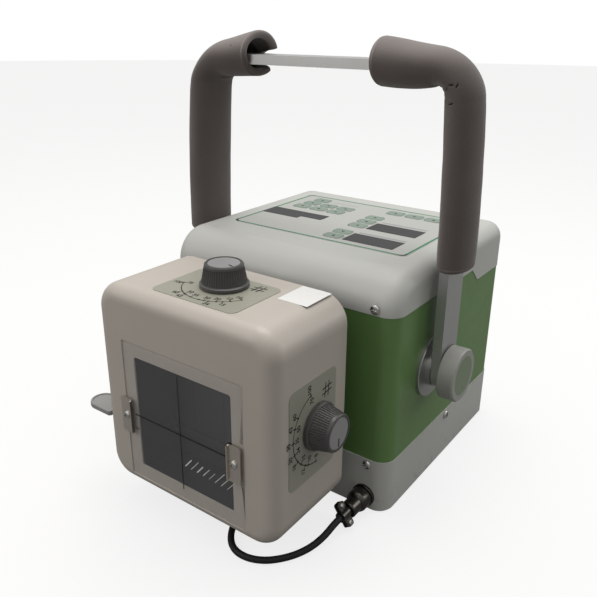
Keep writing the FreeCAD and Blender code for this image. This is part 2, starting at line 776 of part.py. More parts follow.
def flange_screw_places():
    """Base point and outward axis of the screws in the ring's two flanges."""
    r = (flange_radius + neck_radius + 1) / 2
    angles = [math.radians(45 + 90 * i) for i in range(4)]
    rim = [(r * math.cos(a), beam_z + r * math.sin(a)) for a in angles]
    places = [((x, casing_front - flange_thickness, z), (0, -1, 0)) for x, z in rim]
    places += [((x, back_face + flange_thickness, z), (0, 1, 0)) for x, z in rim]
    return places


def flange_holes():
    return [hole_along(base, axis, small_shank_radius, small_length)
            for base, axis in flange_screw_places()]


def window_plate():
    y = front_face + window_pocket
    plate = square_at_beam(window_size, y - window_thickness, window_thickness)
    rim = [e for e in plate.Edges if e.BoundBox.YMax < y - window_thickness + 1e-4]
    plate = plate.makeChamfer(window_bevel, rim)
    half = window_size / 2
    z = beam_z - clip_drop
    notches = [box(-half - 1, -half + 7, y - 5, y + 1, z - notch_height / 2 + 6, z + notch_height / 2 - 6),
               box(half - notch_depth, half + 1, y - 5, y + 1, z - notch_height / 2, z + notch_height / 2)]
    return plate.cut(notches)


def window_clips():
    """Sprung steel clips, each pressed flat on the plate's edge with a dimple at its screw."""
    clips = []
    y = front_face + window_pocket - window_thickness
    z = beam_z - clip_drop
    for x in clip_x:
        side = -1 if x < 0 else 1
        shape = rectangle(x - clip_width / 2, x + clip_width / 2, z - clip_height / 2, z + clip_height / 2)
        blade = slab(shape, 1.2, on_xz(y - clip_thickness), (0, clip_thickness, 0))
        dimple = rod(3.4, (x, y, z), (0, 1, 0), front_face - y + (window_pocket if side > 0 else 0))
        lip = box(x - clip_width / 2 if side > 0 else x + clip_width / 2 - 1,
                  x - clip_width / 2 + 1 if side > 0 else x + clip_width / 2,
                  y - clip_thickness - 1.6, y, z - clip_height / 2 + 1.2, z + clip_height / 2 - 1.2)
        clip = join([blade, dimple, lip])
        clips.append(clip.cut(rod(1.5, (x, y - 5, z), (0, 1, 0), 20)))
    return group(clips)


def collimator_screws():
    """Small screws of the window clips, the back plate and the flanged ring."""
    y = front_face + window_pocket - window_thickness - clip_thickness
    places = [((x, y, beam_z - clip_drop), (0, -1, 0)) for x in clip_x]
    places += [((x, back_face, z), (0, 1, 0)) for x, z in back_screw_places()] + flange_screw_places()
    size = (small_head_radius, small_head_height, small_shank_radius, small_length)
    return group([pan_screw(base, axis, *size) for base, axis in places])


def scale_plate(plane, centre, size, push, bush):
    """Thin printed plate beside a knob's shaft, cut out round its bush."""
    (a, b), (across, along) = centre, size
    shape = rectangle(a - across / 2, a + across / 2, b - along / 2, b + along / 2)
    return slab(shape, scale_corner, plane, push).cut(bush)


def top_scale_plate():
    bush = rod(bush_flange_radius + 0.2, (top_knob_x, knob_axis_y, collimator_top - 1), (0, 0, 1), 4)
    centre = (top_knob_x, knob_axis_y - scale_shift)
    plane = on_xy(collimator_top)
    return scale_plate(plane, centre, (scale_length, scale_width), (0, 0, scale_thickness), bush)


def side_scale_plate():
    bush = rod(bush_flange_radius + 0.2, (collimator_side - 1, knob_axis_y, side_knob_z), (1, 0, 0), 4)
    centre = (knob_axis_y - side_scale_shift, side_knob_z)
    plane = on_yz(collimator_side)
    return scale_plate(plane, centre, (scale_width, scale_length), (scale_thickness, 0, 0), bush)


def shaft_bush(base, axis):
    inner = shaft_radius + running_clearance
    w = collimator_wall
    profile = [(inner, -w - 1.5), (bush_radius, -w - 1.5), (bush_radius, 0), (bush_flange_radius, 0)]
    profile += [(bush_flange_radius, 0.8), (inner, 0.8)]
    return turned(profile, base, axis)


def shaft_bushes():
    return group([shaft_bush((top_knob_x, knob_axis_y, collimator_top), (0, 0, 1)),
                  shaft_bush((collimator_side, knob_axis_y, side_knob_z), (1, 0, 0))])


# Knobs and shafts
knob_seat = 1.2
knob_bore_depth = 11.0


def fluted_knob(base, axis):
    """Tapered knob with a plain foot flange, fluted skirt and a recess for its cap."""
    h, top = knob_height, knob_top_radius
    profile = [(0, 0), (knob_base_radius, 0), (knob_base_radius, knob_flange)]
    profile += [(knob_skirt_radius, knob_flange + 0.8), (top + 0.3, h - 2.2), (top, h - 0.8)]
    profile += [(top - 0.8, h), (0, h)]
    knob = turned(profile, (0, 0, 0), (0, 0, 1))
    cuts = []
    low, high = knob_flange + 1.2, h - 2.6
    lean = Vector(top + 0.3 - knob_skirt_radius, 0, high - low)
    foot = Vector(knob_skirt_radius + 0.1, 0, low)
    for i in range(knob_flutes):
        a = 360.0 * i / knob_flutes
        flute = Part.makeCylinder(knob_flute_radius, lean.Length, foot, lean)
        flute.rotate(Vector(0, 0, 0), Vector(0, 0, 1), a)
        cuts.append(flute)
    cuts.append(rod(shaft_radius, (0, 0, -1), (0, 0, 1), knob_bore_depth + 1))
    cuts.append(rod(knob_cap_radius, (0, 0, h - knob_cap_depth), (0, 0, 1), 5))
    return aimed(knob.cut(cuts), base, axis)


def knob_cap(base, axis):
    low = knob_height - knob_cap_depth
    r = knob_cap_radius - 0.05
    profile = [(0, low), (r, low), (r, low + 0.3), (r - 0.4, low + 0.6), (0, low + 0.6)]
    return aimed(turned(profile, (0, 0, 0), (0, 0, 1)), base, axis)


def pinion_points():
    """Involute outline of the pinion, a tooth centred on +Y."""
    base_radius = pitch_radius * math.cos(pressure_angle)
    tip = pitch_radius + 0.9 * gear_module
    root = pitch_radius - 1.25 * gear_module
    half = (math.pi * gear_module / 2 - backlash) / 2 / pitch_radius
    involute = math.tan(pressure_angle) - pressure_angle
    radii = [base_radius + (tip - base_radius) * i / 3 for i in range(4)]
    flank = []
    for r in radii:
        alpha = math.acos(min(1, base_radius / r))
        flank.append((r, half + involute - (math.tan(alpha) - alpha)))
    points = []
    for tooth in range(pinion_teeth):
        middle = math.pi / 2 + 2 * math.pi * tooth / pinion_teeth
        side = [(root, flank[0][1])] + flank
        for r, a in side:
            points.append((r * math.cos(middle - a), r * math.sin(middle - a)))
        for r, a in reversed(side):
            points.append((r * math.cos(middle + a), r * math.sin(middle + a)))
    return points


def pinion_shaft(surface, length):
    """Pinion and shaft in one piece, pinion at the low end of +Z, surface at z = 0."""
    gear = slab(pinion_points(), 0, on_xy(surface), (0, 0, gear_face))
    shaft = rod(shaft_radius, (0, 0, surface), (0, 0, 1), length - surface)
    return join([gear, shaft])


gear_low = -16.0


def top_pinion():
    shaft = pinion_shaft(gear_low, knob_seat + knob_bore_depth)
    return shaft.translated(Vector(top_knob_x, knob_axis_y, collimator_top))


def side_pinion():
    shaft = pinion_shaft(gear_low, knob_seat + knob_bore_depth)
    shaft.rotate(Vector(0, 0, 0), Vector(0, 1, 0), 90)
    return shaft.translated(Vector(collimator_side, knob_axis_y, side_knob_z))


# Shutters
def rack(first, last, centre):
    """Rack outline along +X, teeth up with a gap at the centre, pitch line at zero."""
    pitch = math.pi * gear_module
    slope = math.tan(pressure_angle)
    tip, root = 0.85 * gear_module, -1.25 * gear_module
    half = (pitch / 2 - backlash) / 2
    points = [(first, root - 2.5)]
    points.append((last, root - 2.5))
    points.append((last, root))
    count = int((last - first) / pitch) + 2
    places = [centre + pitch * (i + 0.5) for i in range(-count, count)]
    inside = [x for x in places if first + half + 0.6 < x < last - half - 0.6]
    for x in reversed(inside):
        points.append((x + half - root * slope, root))
        points.append((x + half - tip * slope, tip))
        points.append((x - half + tip * slope, tip))
        points.append((x - half + root * slope, root))
    points.append((first, root))
    return points


def shutter_x(sign):
    """Blade that closes from one side, with the arm and rack above it."""
    level = collimator_top + gear_low
    y0, y1 = blade_plane_x - blade_thickness, blade_plane_x
    edge = sign * blade_gap / 2
    outer = edge + sign * blade_width
    z0, z1 = beam_z - blade_height / 2, beam_z + blade_height / 2
    blade = box(min(edge, outer), max(edge, outer), y0, y1, z0, z1)
    arm_x = sign * 31.0
    arm = box(arm_x - 5, arm_x + 5, y0, y1, z1 - 4, level + gear_face)
    near, far = top_knob_x - sign * 8.0, top_knob_x + sign * (shutter_travel + 8.0)
    points = rack(min(near, far), max(near, far), top_knob_x)
    points = [(x, knob_axis_y + sign * (pitch_radius - v)) for x, v in points]
    teeth = slab(points, 0, on_xy(level), (0, 0, gear_face))
    spine = knob_axis_y + sign * (pitch_radius + 1.25 * gear_module + 2.5)
    a, b = sorted((y0 if sign < 0 else y1, spine))
    tab = box(arm_x - 5, arm_x + 5, min(a, y0), max(b, y1), level, level + gear_face)
    reach = sorted((arm_x, top_knob_x + sign * (shutter_travel + 8.0)))
    bridge = box(reach[0], reach[1], min(spine, spine - sign * 2.4), max(spine, spine - sign * 2.4), level,
                 level + gear_face)
    return join([blade, arm, teeth, tab.cut(gear_clearance(level)), bridge])


def gear_clearance(level):
    return rod(pitch_radius + 2.2, (top_knob_x, knob_axis_y, level - 1), (0, 0, 1), gear_face + 2)


def shutter_z(sign):
    """Blade that closes from above or below, with its rack beside the side knob's pinion."""
    level = collimator_side + gear_low
    y0, y1 = blade_plane_z, blade_plane_z + blade_thickness
    edge = beam_z + sign * blade_gap / 2
    outer = edge + sign * blade_width
    blade = box(-38, 38, y0, y1, min(edge, outer), max(edge, outer))
    arm_z = outer - sign * 5.0
    arm = box(36, level + gear_face, y0, y1, arm_z - arm_half, arm_z + arm_half)
    near, far = side_knob_z + sign * 8.0, side_knob_z - sign * (shutter_travel + 8.0)
    low, high = min(near, far, arm_z - arm_half), max(near, far, arm_z + arm_half)
    points = [(knob_axis_y + sign * (pitch_radius - v), z) for z, v in rack(low, high, side_knob_z)]
    teeth = slab(points, 0, on_yz(level), (gear_face, 0, 0))
    spine = knob_axis_y + sign * (pitch_radius + 1.25 * gear_module + 2.5)
    a, b = sorted((y0 if sign > 0 else y1, spine))
    tab = box(level - 0.1, level + gear_face, min(a, y0), max(b, y1), arm_z - arm_half, arm_z + arm_half)
    clear = rod(pitch_radius + 2.2, (level - 1, knob_axis_y, side_knob_z), (1, 0, 0), gear_face + 2)
    return join([blade, arm.cut(clear), teeth, tab.cut(clear)])


frame_post_places = [(-50, 34), (-50, 172), (52, 82), (50, 172)]


def shutter_frame():
    """Plate between the two blade pairs, with rails that guide them and posts to the back."""
    half = frame_thickness / 2
    y0, y1 = knob_axis_y - half, knob_axis_y + half
    plate = box(-58, 58, y0, y1, collimator_bottom + collimator_wall + 3, 178)
    ears = box(-76, 76, y0, y1, 134, 144)
    front = y0 - blade_thickness - 2 * blade_clearance
    low = beam_z - blade_height / 2 - blade_clearance
    ledge = box(-58, 58, front - 1.5, y0, low - 4, low)
    lip = box(-58, 58, front - 1.5, front, low - 4, low + 3)
    bar = box(-76, 76, front - 1.5, front, 135, 143)
    ends = [box(s * 75 - 1, s * 75 + 1, front - 1.5, y1, 134, 144) for s in (-1, 1)]
    rear = y1 + blade_thickness + 2 * blade_clearance
    rails = []
    for sign, z0, z1 in ((-1, collimator_bottom + collimator_wall + 3, 178), (1, 89, 115)):
        x = sign * (38 + blade_clearance)
        near, far = sorted((x, x + sign * 4))
        lip_near, lip_far = sorted((x - sign * 3, x + sign * 4))
        rails.append(box(near, far, y1, rear + 1.5, z0, z1))
        rails.append(box(lip_near, lip_far, rear, rear + 1.5, z0, z1))
    reach = back_face - collimator_wall - y1 + 1
    posts = [rod(3, (x, y1 - 1, z), (0, 1, 0), reach) for x, z in frame_post_places]
    frame = join([plate, ears, ledge, lip, bar] + ends + rails + posts)
    cuts = [square_at_beam(72, y0 - 1, frame_thickness + 2, 3)]
    cuts.append(rod(pitch_radius + 3, (top_knob_x, knob_axis_y, 182 - 8), (0, 0, 1), 30))
    return frame.cut(cuts)


# Mirror and lamp
mirror_centre_y = -142.0
mirror_half = 31.0


def mirror_outline(extra):
    """Trapezium that widens towards the window, in the mirror's own plane."""
    a = mirror_half + extra
    return [(-16 - extra, a), (16 + extra, a), (32 + extra, -a), (-32 - extra, -a)]


def tilted(shape):
    """Lay a plate made in XY at z = 0 along the mirror's slope."""
    shape.rotate(Vector(0, 0, 0), Vector(1, 0, 0), 45)
    return shape.translated(Vector(0, mirror_centre_y, beam_z))


def mirror():
    return tilted(slab(mirror_outline(0), 0, on_xy(0), (0, 0, 1.0)))


def mirror_bracket():
    """Frame behind the mirror with two ears that screw to the back plate."""
    plate = slab(mirror_outline(1.5), 0, on_xy(-1.5), (0, 0, 1.5))
    plate = tilted(plate.cut(box(-14, 14, -20, 20, -3, 1)))
    rear = back_face - collimator_wall
    z = beam_z + (rear - mirror_centre_y)
    ears = []
    for s in (-1, 1):
        ear = [(s * 23.4, z - 6), (s * 44, z - 6), (s * 44, z + 6), (s * 23.4, z + 6)]
        ears.append(slab(ear, 0, on_xz(rear - 1.5), (0, 1.5, 0)))
    return join([plate] + ears)


def lamp_board():
    """Lamp on its small board and finned sink, bracketed to the back plate."""
    rear = back_face - collimator_wall
    z = beam_z + 82
    x = 0.0
    sink = box(x - 12, x + 12, rear - 15, rear, z, z + 2)
    fins = [box(x - 12 + 4 * i, x - 10.6 + 4 * i, rear - 15, rear, z + 2, z + 9) for i in range(6)]
    board = box(x - 9, x + 9, rear - 14, rear - 1, z - board_thickness, z)
    dome = [(0, 0), (4, 0), (4, 1), (3, 2.6), (1.4, 3.6), (0, 4)]
    lens = turned(dome, (x, mirror_centre_y, z - board_thickness), (0, 0, -1))
    return join([sink, board, lens] + fins)


# Lever
lever_pin_radius = 1.5
lever_pin_x = -collimator_side + 8


def lamp_lever():
    """Thumb paddle with a raised rim, on a shank that passes through the slot."""
    tip, root = -collimator_side - lever_reach, -collimator_side - 3
    half, shank = lever_width / 2, lever_shank / 2
    z0 = lever_z - lever_thickness / 2
    shape = rectangle(tip, root, lever_y - half, lever_y + half)
    paddle = slab(shape, [half - 0.1, 3, 3, half - 0.1], on_xy(z0), (0, 0, lever_thickness))
    rim = [e for e in paddle.Edges if abs(e.BoundBox.ZMin - e.BoundBox.ZMax) < 1e-4]
    paddle = paddle.makeFillet(1.2, rim)
    recess = rectangle(tip + 2, root - 2, lever_y - half + 2, lever_y + half - 2)
    sunk = slab(recess, [half - 2.2, 2, 2, half - 2.2], on_xy(z0 + lever_thickness - 0.7), (0, 0, 2))
    stem = box(root - 2, lever_pin_x + 4, lever_y - shank, lever_y + shank, z0, z0 + lever_thickness)
    hole = rod(lever_pin_radius + running_clearance, (lever_pin_x, lever_y - 20, lever_z), (0, 1, 0), 40)
    return join([paddle.cut(sunk), stem]).cut(hole)


def lever_bracket():
    """Two cheeks and a pin inside the housing that carry the lever."""
    inner = -collimator_side + collimator_wall
    near, far = lever_shank / 2 + 1, lever_shank / 2 + 3
    cheeks = [box(inner, lever_pin_x + 4, min(lever_y + s * near, lever_y + s * far),
                  max(lever_y + s * near, lever_y + s * far), lever_z - 5, lever_z + 5) for s in (-1, 1)]
    pin = rod(lever_pin_radius, (lever_pin_x, lever_y - far, lever_z), (0, 1, 0), 2 * far)
    return join(cheeks + [pin]).common(collimator_block(collimator_wall, back_face))


stop_radius = 4.0
stop_stem_radius = 2.0
stop_z = lever_z + lever_thickness / 2 + side_gap + stop_radius


def lever_stop():
    """Small rubber buffer above the lever's root."""
    profile = [(0, -4), (stop_stem_radius, -4), (stop_stem_radius, 0), (stop_radius, 0), (stop_radius, 2.5)]
    profile += [(stop_radius - 1.2, 4), (0, 4)]
    return turned(profile, (-collimator_side, lever_y, stop_z), (-1, 0, 0))


# Lamp cable
socket_thread_radius = 7.5
socket_flange = 2.6
ring_length = 12.0
ring_radius = 9.3
barrel_length = 11.0
barrel_radius = 7.2
clamp_length = 11.0
socket_mouth = 9.6
nose_radius = 4.4
lip_radius = 5.2
lip_depth = 2.5
ring_bore = 7.0
clamp_turn = 55.0
jaw_thickness = 1.8
jaw_gap = 1.2
ear_reach = 10.5
ear_screw_x = 7.6


def lamp_socket():
    """Panel socket in the tray's front wall, with the thread that the ring runs on."""
    profile = [(0, 12), (socket_thread_radius, 12), (socket_thread_radius, 0), (socket_radius, 0)]
    profile += [(socket_radius, -socket_flange + 0.5), (socket_radius - 0.5, -socket_flange)]
    profile += [(6.6, -socket_flange), (6.6, -socket_mouth), (nose_radius, -socket_mouth)]
    profile += [(nose_radius, 3), (0, 3)]
    return turned(profile, (plug_x, -half_depth, plug_z), (0, 1, 0))


def coupling_ring():
    """Round ring that turns on the plug and screws to the socket, with a groove near each end."""
    r, deep = ring_radius, ring_length
    profile = [(ring_bore, 0), (r - 0.8, 0), (r, 0.8), (r, 2.2), (r - 0.4, 2.5), (r, 2.8), (r, deep - 3.4)]
    profile += [(r - 0.7, deep - 1.2), (r - 2, deep), (lip_radius, deep), (lip_radius, deep - lip_depth)]
    profile += [(ring_bore, deep - lip_depth)]
    start = socket_flange + side_gap
    return turned(profile, (plug_x, -half_depth - start, plug_z), (0, -1, 0))


def plug_front():
    return -half_depth - socket_flange - side_gap - ring_length


def turned_clamp(shape):
    """The cord clamp's pieces, made with level ears, turned about the plug's axis."""
    shape.rotate(Vector(plug_x, 0, plug_z), Vector(0, 1, 0), clamp_turn)
    return shape


def cable_plug():
    """Plug body: nose inside the ring, stepped barrel and two jaws with ears that grip the cable."""
    y = plug_front()
    collar = y + lip_depth + side_gap
    nose = rod(nose_radius, (plug_x, -half_depth - socket_mouth + 4, plug_z), (0, -1, 0), 8)
    shoulder = rod(ring_bore - 0.5, (plug_x, collar, plug_z), (0, 1, 0), 1.8)
    neck = rod(lip_radius - running_clearance, (plug_x, collar, plug_z), (0, -1, 0), lip_depth + 1)
    profile = [(0, side_gap), (barrel_radius, side_gap), (barrel_radius, barrel_length - 1)]
    profile += [(barrel_radius - 1, barrel_length), (0, barrel_length)]
    barrel = turned(profile, (plug_x, y, plug_z), (0, -1, 0))
    end = y - barrel_length
    saddle = rod(cable_radius + jaw_thickness, (plug_x, end, plug_z), (0, -1, 0), clamp_length)
    thick = jaw_gap / 2 + jaw_thickness
    ear = rectangle(plug_x - ear_reach, plug_x + ear_reach, end - 9.5, end - 1.5)
    ears = slab(ear, 2.2, on_xy(plug_z - thick), (0, 0, 2 * thick))
    split = box(plug_x - 12, plug_x + 12, end - 12, end - 1, plug_z - jaw_gap / 2, plug_z + jaw_gap / 2)
    screw_bores = [rod(1.25, (x, end - 5.5, 0), (0, 0, 1), 40) for x in ear_screw_places()]
    jaws = turned_clamp(join([saddle, ears]).cut([split] + screw_bores))
    core = rod(cable_radius + 1.2, (plug_x, end - 1, plug_z), (0, 1, 0), 2)
    bore = rod(cable_radius, (plug_x, end - 20, plug_z), (0, 1, 0), 22)
    return join([nose, shoulder, neck, barrel, jaws, core]).cut(bore)


def ear_screw_places():
    return plug_x - ear_screw_x, plug_x + ear_screw_x


def clamp_screws():
    """Two screws that draw the clamp's jaws together."""
    y = plug_front() - barrel_length - 5.5
    z = plug_z + jaw_gap / 2 + jaw_thickness
    screws = [pan_screw((x, y, z), (0, 0, 1), 2.2, 1.7, 1.25, 6) for x in ear_screw_places()]
    return turned_clamp(group(screws))


elbow_x = 25.0
elbow_y = -166.0
elbow_z = 8.5
elbow_stem_radius = 4.5
elbow_radius = 5.4
elbow_snout = 15.0

cable_start = (plug_x, plug_front() - barrel_length - clamp_length, plug_z)
cable_end = (elbow_x, elbow_y - elbow_snout, elbow_z)
cable_points = [cable_start, (96.5, -156, 13.5), (95.4, -167.2, 9.4), (91.5, -178.8, 5.0)]
cable_points += [(85.6, -190.6, 2.8), (78.6, -201.8, 2.8), (69.2, -211.4, 2.8), (56.8, -217.0, 2.8)]
cable_points += [(43.8, -216.6, 2.8), (33.2, -209.6, 2.8), (26.8, -199.4, 5.4), (25, -190, 8.5), cable_end]


def cable_path(points):
    """Straight runs joined by the largest arcs that the runs allow."""
    vectors = [Vector(*p) for p in points]
    edges = []
    cursor = vectors[0]
    for before, corner, after in zip(vectors, vectors[1:], vectors[2:]):
        back, ahead = before - corner, after - corner
        shorter = min(back.Length, ahead.Length)
        turn = math.pi - back.getAngle(ahead)
        radius = 0.45 * shorter / math.tan(turn / 2)
        print("cable arc radius", round(radius, 1))
        u, v = Vector(back).normalize(), Vector(ahead).normalize()
        start, end = corner + u * 0.45 * shorter, corner + v * 0.45 * shorter
        bisector = (u + v).normalize()
        middle = corner + bisector * (radius / math.cos(turn / 2) - radius)
        edges.append(Part.LineSegment(cursor, start).toShape())
        edges.append(Part.Arc(start, middle, end).toShape())
        cursor = end
    edges.append(Part.LineSegment(cursor, vectors[-1]).toShape())
    return Part.Wire(edges)


def lamp_cable():
    path = cable_path(cable_points)
    start = Vector(*cable_points[0])
    heading = Vector(*cable_points[1]) - start
    section = Part.Wire([Part.Circle(start, heading, cable_radius).toShape()])
    tube = path.makePipeShell([section], True, False)
    print("cable length", round(path.Length, 1), "volume share",
          round(tube.Volume / (math.pi * cable_radius ** 2 * path.Length), 4))
    return tube


def cable_elbow():
    """Right angle strain relief under the collimator, with a tapered snout."""
    top = collimator_bottom + collimator_wall
    stem = rod(elbow_stem_radius, (elbow_x, elbow_y, collimator_bottom), (0, 0, 1), collimator_wall + 2)
    nut = rod(7, (elbow_x, elbow_y, top), (0, 0, 1), 2)
    flange = rod(7, (elbow_x, elbow_y, collimator_bottom - 2), (0, 0, 1), 2)
    post = rod(elbow_radius, (elbow_x, elbow_y, elbow_z), (0, 0, 1), collimator_bottom - 2 - elbow_z)
    ball = Part.makeSphere(elbow_radius, Vector(elbow_x, elbow_y, elbow_z))
    snout = Part.makeCone(elbow_radius, cable_radius + 0.9, elbow_snout, Vector(elbow_x, elbow_y, elbow_z),
                          Vector(0, -1, 0))
    return join([stem, nut, flange, post, ball, snout])


# Every piece by its name
def pieces():
    top = (top_knob_x, knob_axis_y, collimator_top + knob_seat), (0, 0, 1)
    side = (collimator_side + knob_seat, knob_axis_y, side_knob_z), (1, 0, 0)
    plain = [bottom_tray, rubber_feet, middle_casing, top_cover, cover_screws, panel_overlay, control_board]
    plain += [chassis, hv_tank, inverter_board, mains_inlet, switch_frame, power_rocker]
    plain += [hand_switch_socket, earth_stud, handle_bar, pivot_studs, collimator_flange]
    plain += [collimator_housing, collimator_back, window_plate, window_clips, collimator_screws]
    plain += [top_scale_plate, side_scale_plate, shaft_bushes, top_pinion, side_pinion, shutter_frame]
    plain += [mirror, mirror_bracket, lamp_board, lamp_lever, lever_bracket, lever_stop, lamp_socket]
    plain += [coupling_ring, cable_plug, clamp_screws, lamp_cable, cable_elbow]
    shapes = {make.__name__: make() for make in plain}
    shapes["legend_window"] = display_window(legend_points)
    shapes["display_windows"] = group([display_window(upper_points), display_window(lower_points)])
    for name, sign in (("left", -1), ("right", 1)):
        shapes["grip_" + name] = grip(sign)
        shapes["angle_disc_" + name] = angle_disc(sign)
        shapes["clamp_knob_" + name] = clamp_knob(sign)
        shapes["clamp_inlay_" + name] = clamp_inlay(sign)
        shapes["shutter_" + name] = shutter_x(sign)
    for name, place in (("top", top), ("side", side)):
        shapes[name + "_knob"] = fluted_knob(*place)
        shapes[name + "_knob_cap"] = knob_cap(*place)
    shapes["shutter_upper"] = shutter_z(1)
    shapes["shutter_lower"] = shutter_z(-1)
    return shapes


def build():
    os.makedirs("parts", exist_ok=True)
    for name, shape in sorted(pieces().items()):
        state = "" if shape.isValid() else "INVALID"
        print(name, "solids", len(shape.Solids), "volume", round(shape.Volume / 1000, 2), state)
        shape.exportStep("parts/" + name + ".step")


build()
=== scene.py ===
# %% [markdown]
# # A portable x-ray generator, from painted sheet to foam grips
# The shapes come from the CAD model in metres, +Z up, with the collimator's window facing -Y.
# This lesson gives every piece its surface, models the soft grips, prints the panel and the
# scales, lays the lamp cable and lights the unit as a product photograph.

# %% Load the CAD model
import bpy
import math
import numpy as np
from mathutils import Matrix, Vector


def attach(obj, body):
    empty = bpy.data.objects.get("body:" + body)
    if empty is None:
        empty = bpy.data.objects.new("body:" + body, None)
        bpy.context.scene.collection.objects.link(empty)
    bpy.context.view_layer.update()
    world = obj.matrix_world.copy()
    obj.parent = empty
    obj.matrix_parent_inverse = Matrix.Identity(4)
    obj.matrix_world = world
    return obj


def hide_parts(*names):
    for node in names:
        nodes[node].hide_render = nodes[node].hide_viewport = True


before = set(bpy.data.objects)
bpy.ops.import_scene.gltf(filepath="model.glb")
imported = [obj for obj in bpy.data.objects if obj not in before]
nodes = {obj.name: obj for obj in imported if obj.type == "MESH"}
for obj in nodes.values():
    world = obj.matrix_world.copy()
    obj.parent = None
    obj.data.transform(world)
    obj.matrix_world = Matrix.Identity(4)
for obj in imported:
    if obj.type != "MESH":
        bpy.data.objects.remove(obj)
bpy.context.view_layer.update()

# %% [markdown]
# ## A small language for materials
# A `Signal` wraps one socket of a shader node, so that ordinary arithmetic builds the node tree.
# `a + 2`, `1 - a` and `a < 0.5` each add one node. `node` adds any other kind.

# %% Signals
class Signal:
    """One output of a shader node that arithmetic can combine."""

    def __init__(self, tree, socket):
        self.tree, self.socket = tree, socket

    def node(self, kind, *inputs, out=0, **settings):
        made = self.tree.nodes.new("ShaderNode" + kind)
        for key, value in settings.items():
            setattr(made, key, value)
        for place, value in zip(made.inputs, inputs):
            feed(self.tree, value, place)
        return Signal(self.tree, made.outputs[out])

    def math(self, operation, *others):
        return self.node("Math", self, *others, operation=operation)

    def __add__(self, other):
        return self.math("ADD", other)

    def __radd__(self, other):
        return self.math("ADD", other)

    def __sub__(self, other):
        return self.math("SUBTRACT", other)

    def __rsub__(self, other):
        return self.node("Math", other, self, operation="SUBTRACT")

    def __mul__(self, other):
        return self.math("MULTIPLY", other)

    def __lt__(self, other):
        return self.math("LESS_THAN", other)

    def size(self):
        return self.math("ABSOLUTE")

    def fade(self, low, high):
        """Rises smoothly from 0 at low to 1 at high."""
        return self.node("MapRange", self, low, high, interpolation_type="SMOOTHSTEP")

    def blend(self, first, second):
        """Colour between two colours, this signal being the share of the second."""
        mix = self.tree.nodes.new("ShaderNodeMix")
        mix.data_type = "RGBA"
        for place, value in ((0, self), (6, first), (7, second)):
            feed(self.tree, value, mix.inputs[place])
        return Signal(self.tree, mix.outputs[2])


def feed(tree, value, place):
    """Joins a signal to a socket, or writes a plain number or colour on it."""
    if isinstance(value, Signal):
        tree.links.new(value.socket, place)
    elif value is not None:
        if not isinstance(value, (int, float)):
            value = tuple(value) + (1,) * (len(place.default_value) - len(value))
        place.default_value = value


print("signals ready")

# %% [markdown]
# ## One surface recipe
# Each real finish is a base colour, a roughness and a little unevenness of both: a broad mottle
# from handling and a fine grain from the process. A recipe may also repaint by place.

# %% Surface recipe
def surface(name, colour, rough, metallic=0.0, coat=0.0, mottle=0.06, grain=0.0, grain_size=1.0,
            smudge=0.08, repaint=None, **constants):
    """Material with a broad mottle, a fine grain bump and an optional repaint by place."""
    material = bpy.data.materials.new(name)
    material.use_nodes = True
    tree = material.node_tree
    shader = next(n for n in tree.nodes if n.type == "BSDF_PRINCIPLED")
    coordinates = tree.nodes.new("ShaderNodeTexCoord")
    place = Signal(tree, coordinates.outputs["Object"])
    broad = place.node("TexNoise", place, None, 16, 3, 0.6)
    wipe = place.node("TexNoise", place, None, 55, 4, 0.6)
    dark = [c * (1 - 2 * mottle) for c in colour]
    light = [min(1, c * (1 + 2 * mottle)) for c in colour]
    shade = broad.blend(dark, light)
    roughness = rough + (wipe - 0.5) * (2 * smudge)
    if repaint:
        shade, roughness = repaint(place, shade, roughness)
    feed(tree, shade, shader.inputs["Base Color"])
    feed(tree, roughness, shader.inputs["Roughness"])
    shader.inputs["Metallic"].default_value = metallic
    shader.inputs["Coat Weight"].default_value = coat
    for key, value in constants.items():
        shader.inputs[key.replace("_", " ")].default_value = value
    if grain:
        fine = place.node("TexNoise", place, None, 1100 / grain_size, 2, 0.5)
        bump = tree.nodes.new("ShaderNodeBump")
        bump.inputs["Strength"].default_value = grain
        bump.inputs["Distance"].default_value = 0.0002 * grain_size
        feed(tree, fine, bump.inputs["Height"])
        tree.links.new(bump.outputs["Normal"], shader.inputs["Normal"])
    return material


def axes(place):
    """The three coordinates of a place as signals."""
    return [place.node("SeparateXYZ", place, out=i) for i in range(3)]


print("recipe ready")

# %% [markdown]
# ## Painted sheet
# The collimator is beige outside. Inside it is painted black, which stands in for the shade in
# the closed housing behind its window.
# The mask measures how deep a point lies under the rounded outer skin.

# %% Painted surfaces
def hypotenuse(a, b):
    """Length of two signals that are cut off below zero."""
    a, b = a.math("MAXIMUM", 0.0), b.math("MAXIMUM", 0.0)
    return (a * a + b * b).math("SQRT")


def painted_shade_inside(place, shade, roughness):
    """Black painted shade on what lies deeper than the paint's reach under the housing's skin."""
    corner, edge, reach = 0.022, 0.012, 0.0022
    x, y, z = axes(place)
    around = hypotenuse(x.size() - 0.067, (z - 0.112).size() - 0.066) - corner
    above_skin = hypotenuse(around + edge, -0.211 - y) - edge
    # painted shade: black inside the closed housing
    inside = above_skin < -reach
    return inside.blend(shade, (0.012, 0.012, 0.013)), roughness + inside * 0.3


def darker_low_patches(place, shade, roughness):
    """Darker patches on the casing, fading out 3 cm above the floor."""
    marks = place.node("TexNoise", place, None, 120, 5, 0.7)
    low = axes(place)[2].fade(0.03, 0.0) * marks.fade(0.52, 0.66)
    return (low * 0.5).blend(shade, (0.30, 0.28, 0.25)), roughness


